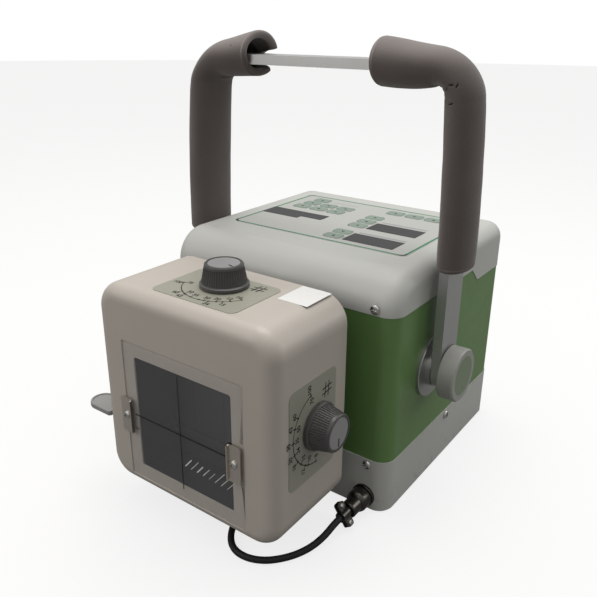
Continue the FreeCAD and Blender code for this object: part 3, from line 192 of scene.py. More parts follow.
paints = {
    "cover_paint": surface("cover_paint", (0.50, 0.505, 0.482), 0.42, grain=0.35, smudge=0.06,
                           mottle=0.02, repaint=darker_low_patches),
    "casing_paint": surface("casing_paint", (0.12, 0.23, 0.07), 0.36, grain=0.25, smudge=0.1,
                            mottle=0.05),
    "collimator_paint": surface("collimator_paint", (0.47, 0.43, 0.385), 0.4, grain=0.35,
                                smudge=0.08, mottle=0.03, repaint=painted_shade_inside),
    "blackened": surface("blackened", (0.018, 0.018, 0.02), 0.55, mottle=0.1),
    "tank_paint": surface("tank_paint", (0.22, 0.24, 0.26), 0.45, grain=0.6),
}
print(len(paints), "paints")

# %% [markdown]
# ## Plastics, rubber and foam
# The grips are closed cell foam, cut open at its skin, so it is matt with dark specks. Their
# sides that face left and up are painted paler, a painted highlight. The moulded parts need little
# more than the right roughness. An attribute written by the sleeve's mesh below paints shade into
# its tears and its hollow ends.

# %% Plastics, rubber and foam
def foam_specks_and_painted_shading(place, shade, roughness):
    """Foam with open cells, a painted highlight facing left and up, painted shade in tears and
    hollow.
    """
    cells = place.node("TexVoronoi", place, None, 900)
    specks = cells.fade(0.16, 0.05)
    x, _, z = axes(place)
    # painted highlight: paler on the left grip's outer side, the right leg's inner side and the
    # tops
    left_grip_lit_side = x.fade(-0.122, -0.139)
    right_leg_lit_side = x.fade(0.0, 0.05) * x.fade(0.131, 0.118) * z.fade(0.35, 0.31)
    painted_highlight_mask = (left_grip_lit_side + right_leg_lit_side + z.fade(0.355, 0.372)).math("MINIMUM", 1.0)
    painted_highlight_mask = painted_highlight_mask * place.node("TexNoise", place, None, 9, 2, 0.5).fade(0.2, 0.6)
    # painted shade: darker in the tears, most where they are deepest, and in the hollow ends
    torn = place.node("Attribute", attribute_name="torn", out=2)
    shade = (painted_highlight_mask * 0.8).blend(shade, (0.228, 0.203, 0.194))
    shade = (specks * 0.45).blend(shade, (0.05, 0.044, 0.04))
    return torn.blend(shade, (0.012, 0.009, 0.008)), roughness


soft = {
    "foam": surface("foam", (0.115, 0.098, 0.092), 0.86, grain=0.6, grain_size=1.4, mottle=0.07,
                    repaint=foam_specks_and_painted_shading, Specular_IOR_Level=0.3, Sheen_Weight=0.3,
                    Sheen_Roughness=0.4),
    "rubber": surface("rubber", (0.02, 0.02, 0.02), 0.65, grain=0.3),
    "cable": surface("cable", (0.014, 0.0135, 0.015), 0.55, grain=0.3, grain_size=0.7,
                     smudge=0.12, Specular_IOR_Level=0.25),
    "knob_plastic": surface("knob_plastic", (0.066, 0.065, 0.064), 0.38, mottle=0.04, grain=0.15),
    "cap_plastic": surface("cap_plastic", (0.27, 0.267, 0.272), 0.34, mottle=0.03),
    "clamp_plastic": surface("clamp_plastic", (0.33, 0.33, 0.31), 0.4, mottle=0.04, grain=0.2),
    "lever_plastic": surface("lever_plastic", (0.28, 0.28, 0.275), 0.4, mottle=0.04),
    "black_plastic": surface("black_plastic", (0.02, 0.02, 0.02), 0.4, grain=0.3),
}
print(len(soft), "soft and moulded finishes")

# %% [markdown]
# ## Metals, glass and films
# The bow and the angle discs are brushed, which shows as lines in the roughness along one axis.
# The window plate is a film with a low alpha, so that light still reaches the black shutters
# behind it. The scales and the panel are printed films with a satin face.

# %% Metals, glass and electronics
def brushed(name, colour, rough, along, stretch=40):
    """Metal with fine lines drawn along one axis."""
    def draw(place, shade, roughness):
        scale = [1600, 1600, 1600]
        scale[along] /= stretch
        lined = place.node("VectorMath", place, scale, operation="MULTIPLY")
        lines = place.node("TexNoise", lined, None, 1, 2, 0.6)
        return shade, roughness + (lines - 0.5) * 0.22
    return surface(name, colour, rough, metallic=1.0, mottle=0.04, smudge=0.06, repaint=draw)


hard = {
    "bar_metal": brushed("bar_metal", (0.50, 0.50, 0.50), 0.42, 2),
    "disc_metal": brushed("disc_metal", (0.42, 0.42, 0.41), 0.36, 1, 8),
    "sheet_metal": brushed("sheet_metal", (0.55, 0.55, 0.55), 0.35, 0),
    "steel": surface("steel", (0.56, 0.55, 0.53), 0.22, metallic=1.0, smudge=0.1),
    "clip_steel": surface("clip_steel", (0.60, 0.55, 0.49), 0.30, metallic=1.0, smudge=0.12),
    "nickel": surface("nickel", (0.08, 0.075, 0.069), 0.26, metallic=1.0, smudge=0.12,
                      mottle=0.08),
    "brass": surface("brass", (0.62, 0.43, 0.17), 0.3, metallic=1.0),
    "mirror_face": surface("mirror_face", (0.85, 0.85, 0.85), 0.03, metallic=1.0, smudge=0.01,
                           mottle=0.0),
    "clear": surface("clear", (0.70, 0.70, 0.74), 0.06, mottle=0.0, smudge=0.03, Alpha=0.07,
                     IOR=1.46),
    "dark_window": surface("dark_window", (0.022, 0.022, 0.025), 0.36, mottle=0.05, smudge=0.05),
    "board": surface("board", (0.02, 0.12, 0.05), 0.4),
    "inlay": surface("inlay", (0.15, 0.21, 0.11), 0.3, coat=0.3),
    "scale_film": surface("scale_film", (0.30, 0.30, 0.246), 0.36, mottle=0.03, smudge=0.05),
    "panel_film": surface("panel_film", (0.46, 0.465, 0.445), 0.33, mottle=0.02, smudge=0.06,
                          grain=0.12),
}
print(len(hard), "metals, glass and films")

# %% [markdown]
# ## Dressing the CAD pieces
# Each piece of the CAD model is one material on the real unit, so one list per material is
# enough, and a piece that is in no list shows in the print below.

# %% Give every CAD piece its surface
use = {
    paints["cover_paint"]: "bottom_tray top_cover",
    paints["casing_paint"]: "middle_casing",
    paints["collimator_paint"]: "collimator_housing",
    paints["blackened"]: "shutter_left shutter_right shutter_upper shutter_lower shutter_frame"
                         " collimator_back",
    paints["tank_paint"]: "hv_tank",
    soft["rubber"]: "rubber_feet lever_stop cable_elbow",
    soft["knob_plastic"]: "top_knob side_knob",
    soft["cap_plastic"]: "top_knob_cap side_knob_cap",
    soft["clamp_plastic"]: "clamp_knob_left clamp_knob_right",
    soft["lever_plastic"]: "lamp_lever",
    soft["black_plastic"]: "mains_inlet switch_frame power_rocker",
    soft["foam"]: "grip_left grip_right",
    soft["cable"]: "lamp_cable",
    hard["bar_metal"]: "handle_bar",
    hard["disc_metal"]: "angle_disc_left angle_disc_right",
    hard["sheet_metal"]: "chassis collimator_flange mirror_bracket lever_bracket",
    hard["steel"]: "cover_screws pivot_studs collimator_screws clamp_screws earth_stud",
    hard["clip_steel"]: "window_clips",
    hard["nickel"]: "lamp_socket coupling_ring cable_plug hand_switch_socket",
    hard["brass"]: "shaft_bushes top_pinion side_pinion",
    hard["mirror_face"]: "mirror",
    hard["clear"]: "window_plate",
    hard["dark_window"]: "legend_window display_windows",
    hard["board"]: "control_board inverter_board lamp_board",
    hard["inlay"]: "clamp_inlay_left clamp_inlay_right",
    hard["scale_film"]: "top_scale_plate side_scale_plate",
    hard["panel_film"]: "panel_overlay",
}
for material, names in use.items():
    for name in names.split():
        nodes[name].data.materials.clear()
        nodes[name].data.materials.append(material)
bare = [n for n in nodes if not nodes[n].data.materials]
print("pieces without a surface:", bare)

# %% [markdown]
# ## Foam grips
# Each grip is a sleeve swept up one leg of the bow, round the bend and along the top. The
# outline of every ring is an oval, and the ring's edge rolls over into the slot for the bar.
# The left sleeve has slipped, grown wide at its top end and split open at the rear.

# %% The grips and their path
pivot_y, top_z, bend = -0.042, 0.3598, 0.025


class Grip:
    """One foam sleeve on one side of the bow, all lengths in metres.

    The path runs from bottom_z up the leg at leg_x, which leans inward by lean, and along the
    top to end_x. The outline's outer and inner half widths are given at even steps from the
    leg's top to the end. Drift shifts the sleeve to the rear, split opens its end, and each
    mark is a tear (see tears).
    """

    def __init__(self, side, sign, leg_x, bottom_z, end_x, outer, inner, half_side, drift, lean,
                 split, marks):
        self.side, self.sign, self.leg_x, self.bottom_z = side, sign, leg_x, bottom_z
        self.outer, self.inner, self.half_side, self.drift = outer, inner, half_side, drift
        self.lean, self.split, self.marks = lean, split, marks
        self.leg = top_z - bend - bottom_z
        self.arc = bend * math.pi / 2
        self.length = self.leg + self.arc + leg_x - bend - end_x

    def centre(self, s):
        """Centre and outward direction, as (x, z) pairs, at a length along the sleeve."""
        bend_x, bend_z = self.leg_x - self.lean - bend, top_z - bend
        if s < self.leg:
            return (self.leg_x - self.lean * (s / self.leg) ** 2, self.bottom_z + s), (1, 0)
        if s < self.leg + self.arc:
            a = (s - self.leg) / bend
            out = (math.cos(a), math.sin(a))
            return (bend_x + bend * out[0], bend_z + bend * out[1]), out
        return (bend_x - (s - self.leg - self.arc), top_z), (0, 1)


grips = [
    Grip("left", -1, leg_x=0.1325, bottom_z=0.196, end_x=0.0725,
         outer=(0.0155, 0.0112, 0.0115, 0.0145, 0.0180, 0.0215),
         inner=(0.0135, 0.0175, 0.0190, 0.0188, 0.0180, 0.0172),
         half_side=0.0245, drift=0.0025, lean=0.0065, split=0.020,
         marks=[(0.196, 5.2, 0.0007, 0.0007, 0.0), (0.222, 4.0, 0.0012, 0.0005, 0.4)]),
    Grip("right", 1, leg_x=0.131, bottom_z=0.206, end_x=0.060,
         outer=(0.0135, 0.0106, 0.0112, 0.0135, 0.0162, 0.0188),
         inner=(0.0135, 0.0128, 0.0170, 0.0196, 0.0200, 0.0192),
         half_side=0.0222, drift=0.0, lean=0.005, split=0.0,
         marks=[(0.139, 4.35, 0.003, 0.0005, 0.3), (0.1405, 4.75, 0.0035, 0.0006, -0.2),
                (0.1385, 5.05, 0.002, 0.0005, 0.5), (0.127, 4.55, 0.0035, 0.0006, 0.2),
                (0.1285, 4.2, 0.0012, 0.0005, 0.0), (0.141, 3.95, 0.0012, 0.0005, 0.0)]),
]
print("grip lengths", [round(grip.length, 4) for grip in grips], "m")

# %% [markdown]
# ## Waves and tears
# Foam never keeps a drawn outline, so each sleeve gets smooth random waves, and short tears where
# it has caught on things. The waves have a seed of their own, so each run gives the same foam.

# %% Waves and tears in the foam
def through(values, share):
    """Rounded line through evenly spaced values, share running from 0 to 1."""
    rounding = 0.09
    places = np.linspace(0, 1, len(values))
    return np.interp(share + np.linspace(-rounding, rounding, 13), places, values).mean()


def wave(seed, a, b, scale):
    """Smooth random wave over two arrays."""
    random = np.random.default_rng(seed)
    total = np.zeros(np.broadcast(a, b).shape)
    for _ in range(14):
        u, v = random.normal(0, scale, 2)
        total += np.sin(u * a + v * b + random.uniform(0, 2 * math.pi))
    return total / 14


def tears(s, turn, marks):
    """How deep each point lies in tears given as (s, turn, half length, half width, slant)."""
    radius = 0.02
    depth = np.zeros(turn.shape)
    for at, angle, length, width, slant in marks:
        along = (turn - angle) * radius
        across = (s - at) - slant * along
        shape = np.clip(1 - (across / width) ** 2, 0, 1) * np.clip(1 - (along / length) ** 2, 0, 1)
        depth = np.maximum(depth, shape)
    return depth


print("waves between", round(float(wave(1, np.arange(9.0), 0, 1).min()), 2), "and 1")

# %% [markdown]
# ## One ring
# The sleeve is a stack of rings. A ring is an oval around the bar, wider at the sides than across,
# with waves, creases on the inside of the bend and, on the left, the split that opens to the rear.

# %% One ring of a sleeve
ripple, bulge_height, crease_depth = 0.0006, 0.00045, 0.0005
crease_from_bend, crease_reach, crease_turn = 0.017, 0.012, 0.7
split_reach, split_turn, split_half = 0.045, 1.95, 0.6


def ring(grip, s, turn, shrink, cut):
    """Points of one ring, turn 0 being the outside of the bend and a quarter turn the rear."""
    s = min(max(s, 0), grip.length)
    (x, z), out = grip.centre(s)
    top = (s - grip.leg) / (grip.length - grip.leg)
    outer, inner = through(grip.outer, top), through(grip.inner, top)
    half_out, lift = (outer + inner) / 2, (outer - inner) / 2
    half_side = grip.half_side + ripple * math.sin(7 * s / grip.length)
    normal = np.stack([np.cos(turn) / half_out, np.sin(turn) / half_side])
    normal /= np.linalg.norm(normal, axis=0)
    around = np.sin(turn) + 2 * np.cos(turn)
    bulge = bulge_height * wave(3 if grip.sign > 0 else 4, s * 60, around, 1.2)
    crease = math.exp(-((s - grip.leg - crease_from_bend) / crease_reach) ** 2)
    crease = crease * np.exp(-((turn - math.pi) / crease_turn) ** 2)
    inward = shrink + cut - bulge - crease_depth * crease * math.sin(s * 900)
    local = np.stack([np.cos(turn) * half_out, np.sin(turn) * half_side]) - normal * inward
    near_end = max(0, 1 - (grip.length - s) / split_reach)
    lips = np.clip(1 - ((turn - split_turn) / split_half) ** 2, 0, 1) ** 0.7
    px = x + out[0] * (local[0] + lift) + grip.split * near_end * lips
    pz = z + out[1] * (local[0] + lift)
    return np.stack([grip.sign * px, pivot_y + grip.drift + local[1], pz], axis=1)


first_ring = ring(grips[1], 0, np.linspace(0, 6.2, 9), 0, 0)
print("first ring spans", np.ptp(first_ring, axis=0).round(3))

# %% [markdown]
# ## The sleeves
# A sleeve is one closed skin: out of the hollow, round the lip, along the outside and back in at
# the other end. It rides on the handle.

# %% Sweep the sleeves
wall, roll, hollow = 0.0062, 0.0034, 0.016
around_count, along_count, tear_depth, hollow_shade = 168, 300, 0.0022, 0.75


def sleeve_rows(length):
    """Each row as (length along the sleeve, depth under the skin, whether in the hollow)."""
    skin = [(s, 0.0, False) for s in np.linspace(roll, length - roll, along_count)]
    rim = [(roll * (1 - math.sin(a)), wall * (1 + math.cos(a)) / 2, False)
           for a in np.linspace(0, math.pi, 7)]
    inner = [(roll + hollow * (1 - k / 5), wall, True) for k in range(5)]
    far = [(length - s, depth, inside) for s, depth, inside in reversed(inner + rim)]
    return inner + rim + skin + far


def sweep(grip):
    """Closed sleeve mesh, smooth shaded, with an attribute of painted shade in tears and hollow."""
    turn = np.linspace(0, 2 * math.pi, around_count, endpoint=False)
    points, torn = [], []
    for s, depth, inside in sleeve_rows(grip.length):
        cut = np.zeros(len(turn)) if inside else tears(s, turn, grip.marks)
        points.append(ring(grip, s, turn, depth, tear_depth * cut))
        # painted shade: a fixed share in the hollow rows, the cut's depth in the tears
        torn.append(np.full(len(turn), hollow_shade) if inside else cut)
    index = np.arange(len(points) * len(turn)).reshape(len(points), -1)
    a, b = index[:-1], index[1:]
    quads = np.stack([a, np.roll(a, -1, 1), np.roll(b, -1, 1), b], axis=-1).reshape(-1, 4)
    mesh = bpy.data.meshes.new("foam_" + grip.side)
    mesh.from_pydata(np.concatenate(points).tolist(), [], quads[:, ::grip.sign].tolist())
    attribute = mesh.attributes.new("torn", "FLOAT", "POINT")
    attribute.data.foreach_set("value", np.concatenate(torn).astype(np.float32))
    mesh.shade_smooth()
    mesh.materials.append(soft["foam"])
    made = bpy.data.objects.new("foam_" + grip.side, mesh)
    bpy.context.collection.objects.link(made)
    return made


for grip in grips:
    sleeve = sweep(grip)
    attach(sleeve, "handle")
    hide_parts("grip_" + grip.side)
    print(sleeve.name, len(sleeve.data.polygons), "faces")

# %% [markdown]
# ## Printing
# Lines, ticks, plain numbers and key outlines are screen printed on the real films. Here they are
# thin meshes just above the film, so that they stay sharp from close by.

# %% Inks
inks = {
    "ink_black": surface("ink_black", (0.012, 0.012, 0.012), 0.6, mottle=0.0, smudge=0.0,
                         Specular_IOR_Level=0.2),
    "ink_green": surface("ink_green", (0.008, 0.19, 0.07), 0.45, mottle=0.03, smudge=0.0),
    "ink_mint": surface("ink_mint", (0.225, 0.28, 0.235), 0.4, mottle=0.02, smudge=0.02),
    "ink_leaf": surface("ink_leaf", (0.03, 0.26, 0.13), 0.45, mottle=0.03, smudge=0.0),
    "ink_grey": surface("ink_grey", (0.33, 0.34, 0.34), 0.5, mottle=0.02, smudge=0.0),
    "sticker": surface("sticker", (0.75, 0.75, 0.74), 0.35, mottle=0.02, smudge=0.04),
    "scratch": surface("scratch", (0.75, 0.73, 0.68), 0.5, mottle=0.0, smudge=0.0),
}


print("inks", sorted(inks))

# %% [markdown]
# ## Artwork on a plane
# All artwork is made of flat polygons. `stroke` draws a line of constant width on a plane that
# two directions span, and `arc` and `rounded` give the outlines that scales and keys need.

# %% Artwork on a plane
ink_lift = 0.00006


class Sheet:
    """Flat artwork on a plane given by an origin and two directions."""

    def __init__(self, origin, right, up):
        self.origin, self.right, self.up = Vector(origin), Vector(right), Vector(up)
        self.out = self.right.cross(self.up)
        self.points, self.faces = [], []

    def polygon(self, corners, lift=ink_lift):
        start = len(self.points)
        for a, b in corners:
            self.points.append(self.origin + self.right * a + self.up * b + self.out * lift)
        self.faces.append(list(range(start, len(self.points))))

    def stroke(self, corners, width, closed=False, lift=ink_lift):
        """Ribbon along a line of points."""
        line = [Vector(c) for c in corners]
        if closed:
            line.append(line[0])
        for p, q in zip(line, line[1:]):
            d = (q - p).normalized() * (width / 2)
            n = Vector((-d.y, d.x))
            self.polygon([p + n - d * 0.6, q + n + d * 0.6, q - n + d * 0.6, p - n - d * 0.6], lift)

    def finish(self, name, ink, body):
        mesh = bpy.data.meshes.new(name)
        mesh.from_pydata(self.points, [], self.faces)
        mesh.materials.append(inks[ink])
        made = bpy.data.objects.new(name, mesh)
        bpy.context.collection.objects.link(made)
        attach(made, body)


def arc(centre, radius, first, last, steps=24):
    """Points on a circle between two angles in degrees."""
    angles = [math.radians(first + (last - first) * i / steps) for i in range(steps + 1)]
    return [(centre[0] + radius * math.cos(a), centre[1] + radius * math.sin(a)) for a in angles]


def rounded(x0, x1, y0, y1, r):
    """Outline of a rectangle with rounded corners."""
    points = arc((x1 - r, y1 - r), r, 0, 90, 6) + arc((x0 + r, y1 - r), r, 90, 180, 6)
    return points + arc((x0 + r, y0 + r), r, 180, 270, 6) + arc((x1 - r, y0 + r), r, 270, 360, 6)


print("artwork lies", ink_lift * 1000, "mm above its film")

# %% [markdown]
# ## Plain figures
# Figures are text curves turned into one mesh per scale, slightly bolder than the font, as print
# on a film is.

# %% Plain figures
def numbers(name, labels, origin, right, up, height, body):
    """Plain figures as one mesh, each label being (text, a, b, angle in degrees)."""
    bolder = 0.00012
    right, up = Vector(right), Vector(up)
    out = right.cross(up)
    made = []
    for text, a, b, angle in labels:
        curve = bpy.data.curves.new(name + "_figure", "FONT")
        curve.body, curve.size = text, height
        curve.align_x = curve.align_y = "CENTER"
        curve.offset = bolder
        figure = bpy.data.objects.new(name + "_figure", curve)
        bpy.context.collection.objects.link(figure)
        turn = Matrix.Rotation(math.radians(angle), 4, "Z")
        basis = Matrix((right, up, out)).transposed().to_4x4()
        place = Vector(origin) + right * a + up * b + out * ink_lift
        figure.matrix_world = Matrix.Translation(place) @ basis @ turn
        made.append(figure)
    bpy.context.view_layer.update()
    graph = bpy.context.evaluated_depsgraph_get()
    points, faces = [], []
    for figure in made:
        flat = bpy.data.meshes.new_from_object(figure.evaluated_get(graph))
        start = len(points)
        points += [figure.matrix_world @ v.co for v in flat.vertices]
        faces += [[start + i for i in p.vertices] for p in flat.polygons]
        bpy.data.objects.remove(figure)
    mesh = bpy.data.meshes.new(name)
    mesh.from_pydata(points, [], faces)
    mesh.materials.append(inks["ink_black"])
    joined = bpy.data.objects.new(name, mesh)
    bpy.context.collection.objects.link(joined)
    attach(joined, body)


print("figures ready")

# %% [markdown]
# ## Control panel
# The panel is one sealed membrane, screen printed from behind: a green border, pale key fields
# with a green outline and small black signs. The signs stay generic.

# %% Keypad artwork
panel_z = 0.2103
key_top = panel_z + 0.0004
panel_x0, panel_x1, panel_y0, panel_y1 = -0.092, 0.092, -0.0546, 0.0774
key_pitch = 0.0205
program_keys = [(-0.066, 0.0614)] + [(-0.0685 + key_pitch * i, 0.0457) for i in range(3)]
program_keys += [(-0.0705 + key_pitch * i, 0.030) for i in range(3)]
setting_keys = [(0.0135, y) for y in (0.034, 0.0177, 0.0019, -0.024, -0.0397)]
mode_keys = [(0.0218 + key_pitch * i, 0.061) for i in range(3)]
all_keys = program_keys + setting_keys + mode_keys
half_w, half_d, border_in = 0.0093, 0.0065, 0.0016


def key_outline(x, y, inset, r):
    return rounded(x - half_w + inset, x + half_w - inset, y - half_d + inset,
                   y + half_d - inset, r)


border = Sheet((0, 0, panel_z), (1, 0, 0), (0, 1, 0))
border.stroke(rounded(panel_x0 + border_in, panel_x1 - border_in, panel_y0 + border_in,
                      panel_y1 - border_in, 0.0045), 0.0020, True)
border.finish("panel_border", "ink_green", "generator")

pads = Sheet((0, 0, key_top), (1, 0, 0), (0, 1, 0))
edges = Sheet((0, 0, key_top), (1, 0, 0), (0, 1, 0))
for x, y in all_keys:
    pads.polygon(key_outline(x, y, 0.0006, 0.0035), 0.00004)
    edges.stroke(key_outline(x, y, 0.0007, 0.0034), 0.0007, True)
pads.finish("key_pads", "ink_mint", "generator")
edges.finish("key_outlines", "ink_leaf", "generator")

marks = Sheet((0, 0, key_top), (1, 0, 0), (0, 1, 0))
half, mark_lift = 0.0018, 0.00007
for i, (x, y) in enumerate(all_keys):
    low, high = y - half * 0.8, y + half
    if i % 3 == 0:
        marks.polygon([(x - half, low), (x + half, low), (x, high)], mark_lift)
    elif i % 3 == 1:
        low, high = y - half, y + half * 0.8
        marks.polygon([(x - half, high), (x, low), (x + half, high)], mark_lift)
    else:
        marks.polygon(arc((x, y), half * 0.8, 0, 345, 14), mark_lift)
marks.finish("key_symbols", "ink_black", "generator")
rules = Sheet((0, 0, panel_z), (1, 0, 0), (0, 1, 0))
for x0, x1, y, width in ((0.028, 0.073, 0.0245, 0.0035), (0.028, 0.073, -0.0175, 0.0035),
                         (-0.052, -0.022, 0.0615, 0.0009)):
    rules.stroke([(x0, y), (x1, y)], width)
rules.finish("panel_rules", "ink_grey", "generator")
print("keys printed:", len(pads.faces))

# %% [markdown]
# ## Scales
# A printed scale round each knob gives the field's size: a dot at each mark, plain figures inside
# the arc for one distance and outside of it for the other, and crossed bars for the shutters.

# %% Knob scales
def at_angle(radius, angle):
    return radius * math.cos(math.radians(angle)), radius * math.sin(math.radians(angle))


def knob_scale(name, origin, right, up, radius, marks, turned):
    """Arc line with a dot and a tick at each mark, and plain figures on either side of it."""
    dot, tick, figure_off = 0.00095, 0.0023, 0.0050
    art = Sheet(origin, right, up)
    art.stroke(arc((0, 0), radius, marks[0][0], marks[-1][0], 48), 0.0007)
    labels = []
    for angle, inner, outer in marks:
        art.polygon(arc(at_angle(radius, angle), dot, 0, 330, 10))
        for text, way in ((inner, -1), (outer, 1)):
            if text:
                art.stroke([at_angle(radius, angle), at_angle(radius + way * tick, angle)], 0.0006)
                labels.append((text, *at_angle(radius + way * figure_off, angle), turned))
    art.finish(name + "_arc", "ink_black", "generator")
    numbers(name + "_figures", labels, origin, right, up, 0.0054, "generator")


def field_symbol(name, origin, right, up):
    """Four crossed bars that stand for the shutters."""
    art = Sheet(origin, right, up)
    for k in (-0.0021, 0.0021):
        art.stroke([(k - 0.0006, -0.0058), (k + 0.0006, 0.0058)], 0.0010)
        art.stroke([(-0.0058, k - 0.0006), (0.0058, k + 0.0006)], 0.0010)
    art.finish(name, "ink_black", "generator")


top_centre, side_centre = (0.002, -0.172, 0.2004), (0.0894, -0.172, 0.111)
top_marks = [(204, "75", "100"), (238, "", "60"), (246, "50", ""), (250, "", "43"),
             (262, "35", ""), (277, "", ""), (284, "30", ""), (291, "", "24"), (301, "20", ""),
             (309, "", "15"), (319, "12", ""), (334, "10", "")]
side_marks = [(108, "75", "100"), (144, "", "60"), (159, "50", "43"), (180, "35", "30"),
              (200, "24", "20"), (216, "", "18"), (227, "15", ""), (240, "", "12"),
              (247, "10", ""), (267, "8", "")]
knob_scale("top_scale", top_centre, (1, 0, 0), (0, 1, 0), 0.0323, top_marks, 0)
field_symbol("top_symbol", (0.0275, -0.1622, 0.2004), (1, 0, 0), (0, 1, 0))
knob_scale("side_scale", side_centre, (0, 1, 0), (0, 0, 1), 0.0305, side_marks, 90)
field_symbol("side_symbol", (0.0894, -0.161, 0.1365), (0, 1, 0), (0, 0, 1))
print("scales printed:", len(top_marks), "and", len(side_marks), "marks")

# %% [markdown]
# ## Pointers, cross lines and wear
# The pointers turn with their knobs. The cross lines on the window mark the middle of the field,
# and slanted scratches below them are where the plate has been wiped. The label is left blank.

# %% Knob pointers, cross lines, scratches and sticker
def pointer(name, origin, right, up, near, far, body):
    art = Sheet(origin, right, up)
    art.stroke([(near, 0), (far, 0)], 0.0014)
    art.finish(name, "ink_black", body)


pointer("top_pointer", (0.002, -0.172, 0.2189), (0.966, -0.259, 0), (0.259, 0.966, 0),
        0.0068, 0.0112, "top_knob")
pointer("side_pointer", (0.1079, -0.172, 0.111), (0, 0, -1), (0, 1, 0),
        0.0045, 0.0110, "side_knob")

window_centre = (0, -0.2245, 0.0955)
window = Sheet(window_centre, (1, 0, 0), (0, 0, 1))
window.stroke([(0, -0.0495), (0, 0.0495)], 0.0011)
window.stroke([(-0.0495, -0.0005), (0.0495, -0.0005)], 0.0011)
window.finish("cross_lines", "ink_black", "generator")

random = np.random.default_rng(11)
scars = Sheet(window_centre, (1, 0, 0), (0, 0, 1))
for k in range(8):
    x = 0.0035 + 0.0061 * k
    z = -0.0268 - 0.0003 * k
    length = random.uniform(0.0095, 0.0150)
    width = random.uniform(0.0003, 0.0006) if k not in (0, 2) else 0.0009
    scars.stroke([(x, z), (x + length * 0.65, z + length * 0.76)], width)
scars.finish("window_scratches", "scratch", "generator")

label = Sheet((0.0623, -0.152, 0.2), (1, 0, 0), (0, 1, 0))
label.polygon(rounded(-0.0132, 0.0132, -0.016, 0.016, 0.001), 0.0001)
label.finish("blank_label", "sticker", "generator")
print("pointers, cross lines, scratches and label added")

# %% [markdown]
# ## Lamp cable
# The cable is one smooth curve through the same points as its tube in the CAD model.

# %% Cable
cable_radius = 0.00275
route = [(96.5, -146.9, 13.5), (96.5, -156, 13.5), (95.4, -167.2, 9.4), (91.5, -178.8, 5.0),
         (85.6, -190.6, 2.8), (78.6, -201.8, 2.8), (69.2, -211.4, 2.8), (56.8, -217.0, 2.8),
         (43.8, -216.6, 2.8), (33.2, -209.6, 2.8), (26.8, -199.4, 5.4), (25, -190, 8.5),
         (25, -181, 8.5)]
route = [(x / 1000, y / 1000, z / 1000) for x, y, z in route]
curve = bpy.data.curves.new("cable_curve", "CURVE")
curve.dimensions = "3D"
spline = curve.splines.new("NURBS")
spline.points.add(len(route) - 1)
for point, place in zip(spline.points, route):
    point.co = (*place, 1)
spline.order_u = 3
spline.use_endpoint_u = True
spline.resolution_u = 12
curve.bevel_depth = cable_radius
curve.bevel_resolution = 5
curve.use_fill_caps = True
curve.materials.append(soft["cable"])
cable = bpy.data.objects.new("lamp_cable_curve", curve)
bpy.context.collection.objects.link(cable)
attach(cable, "generator")
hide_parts("lamp_cable")
print("cable laid through", len(route), "points")

# %% [markdown]
# ## Camera and light
# The camera matches the photograph: 35.7 degrees to the right of the front and 21.3 degrees
# above. Its focal length and centre are in pixels of a square picture, as they were measured.

# %% Camera
azimuth, elevation, tilt = math.radians(35.7), math.radians(21.26), math.radians(0.52)
camera_at = (0.32597, -0.52626, 0.38348)
picture, focal, centre_x, centre_y = 597, 675.19, 299.09, 289.29
back = Vector((math.sin(azimuth) * math.cos(elevation), -math.cos(azimuth) * math.cos(elevation),
               math.sin(elevation)))
level = Vector((math.cos(azimuth), math.sin(azimuth), 0))
upward = back.cross(level)
right = level * math.cos(tilt) + upward * math.sin(tilt)
up = upward * math.cos(tilt) - level * math.sin(tilt)
facing = Matrix((right, up, back)).transposed().to_4x4()
lens = bpy.data.cameras.new("camera")
lens.sensor_width = 36
lens.lens = lens.sensor_width * focal / picture
lens.shift_x = (picture / 2 - centre_x) / picture
lens.shift_y = (centre_y - picture / 2) / picture
lens.clip_start = 0.01
camera = bpy.data.objects.new("camera", lens)
camera.matrix_world = Matrix.Translation(camera_at) @ facing
bpy.context.collection.objects.link(camera)
bpy.context.scene.camera = camera
print("lens", round(lens.lens, 2), "mm")

# %% [markdown]
# ## Light
# The light is a pale room, darker toward the floor, with a large soft source above, a weak one
# from the front left and one from behind on the right that draws the handle's edge. The
# background is white only where it is looked at, so that it adds no light to the unit.

# %% Light
def seen_directly(signal):
    """1 for rays of the camera and through glass, a small share for reflections, else 0."""
    reflected_share = 0.12
    camera_ray, glossy_ray, transmission_ray = [signal.node("LightPath", out=i) for i in (0, 3, 6)]
    seen = camera_ray.math("MAXIMUM", glossy_ray * reflected_share)
    return seen.math("MAXIMUM", transmission_ray)


def soft_light(name, place, target, size, power, colour=(1, 1, 1)):
    lamp = bpy.data.lights.new(name, "AREA")
    lamp.shape, lamp.size, lamp.energy, lamp.color = "DISK", size, power, colour
    made = bpy.data.objects.new(name, lamp)
    made.location = place
    made.rotation_euler = (Vector(target) - Vector(place)).to_track_quat("-Z", "Y").to_euler()
    bpy.context.collection.objects.link(made)


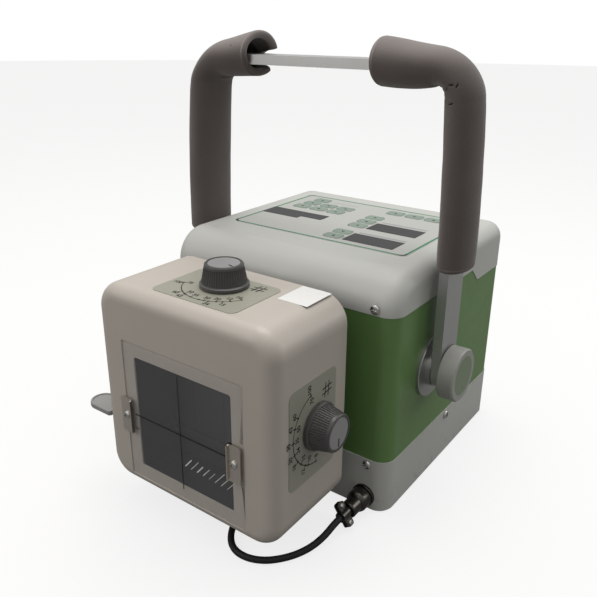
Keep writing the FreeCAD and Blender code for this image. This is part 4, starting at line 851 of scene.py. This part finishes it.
soft_light("overhead", (-0.15, 0.25, 1.7), (0, -0.05, 0.15), 1.2, 15, (1, 0.985, 0.96))
soft_light("front_left", (-0.5, -0.85, 0.6), (0, -0.1, 0.12), 0.6, 1.8, (1, 0.97, 0.93))
soft_light("rear_right", (0.66, 0.58, 0.42), (0.117, 0.08, 0.13), 0.4, 1.1, (0.98, 0.99, 1))

world = bpy.data.worlds.new("room")
bpy.context.scene.world = world
world.use_nodes = True
tree = world.node_tree
background = next(n for n in tree.nodes if n.type == "BACKGROUND")
direction = Signal(tree, tree.nodes.new("ShaderNodeTexCoord").outputs["Generated"])
height = direction.node("SeparateXYZ", direction, out=2)
room = height.fade(-0.05, 0.9).blend((0.17, 0.168, 0.165), (0.85, 0.84, 0.82))
feed(tree, seen_directly(direction).blend(room, (1, 1, 1)), background.inputs["Color"])
background.inputs["Strength"].default_value = 1
print("room ready")

# %% [markdown]
# ## Floor
# A sheet of pale paper lies at z = 0 and runs past the horizon. To the camera it is nearly white
# and keeps the unit's shadow. To other rays it is a duller grey, so that it doesn't light the
# unit from below.

# %% Floor
bpy.ops.mesh.primitive_circle_add(vertices=96, radius=8, fill_type="NGON")
floor = bpy.context.object
floor.name = "floor"
paper_glow = 0.78
paper = bpy.data.materials.new("paper")
paper.use_nodes = True
tree = paper.node_tree
matte = next(n for n in tree.nodes if n.type == "BSDF_PRINCIPLED")
matte.inputs["Roughness"].default_value = 0.9
matte.inputs["Specular IOR Level"].default_value = 0.0
place = Signal(tree, tree.nodes.new("ShaderNodeTexCoord").outputs["Object"])
pale = place.node("LightPath").blend((0.16, 0.16, 0.158), (0.8, 0.8, 0.79))
feed(tree, pale, matte.inputs["Base Color"])
glow = tree.nodes.new("ShaderNodeEmission")
glow.inputs["Strength"].default_value = 1.0
mixed = tree.nodes.new("ShaderNodeMixShader")
feed(tree, seen_directly(place) * paper_glow, mixed.inputs[0])
tree.links.new(matte.outputs[0], mixed.inputs[1])
tree.links.new(glow.outputs[0], mixed.inputs[2])
output = next(n for n in tree.nodes if n.type == "OUTPUT_MATERIAL")
tree.links.new(mixed.outputs[0], output.inputs["Surface"])
floor.data.materials.append(paper)
print("floor laid at z = 0")

# %% [markdown]
# ## Finish
# The colours are shown as they are.

# %% Finish
bpy.context.scene.view_settings.view_transform = "Standard"
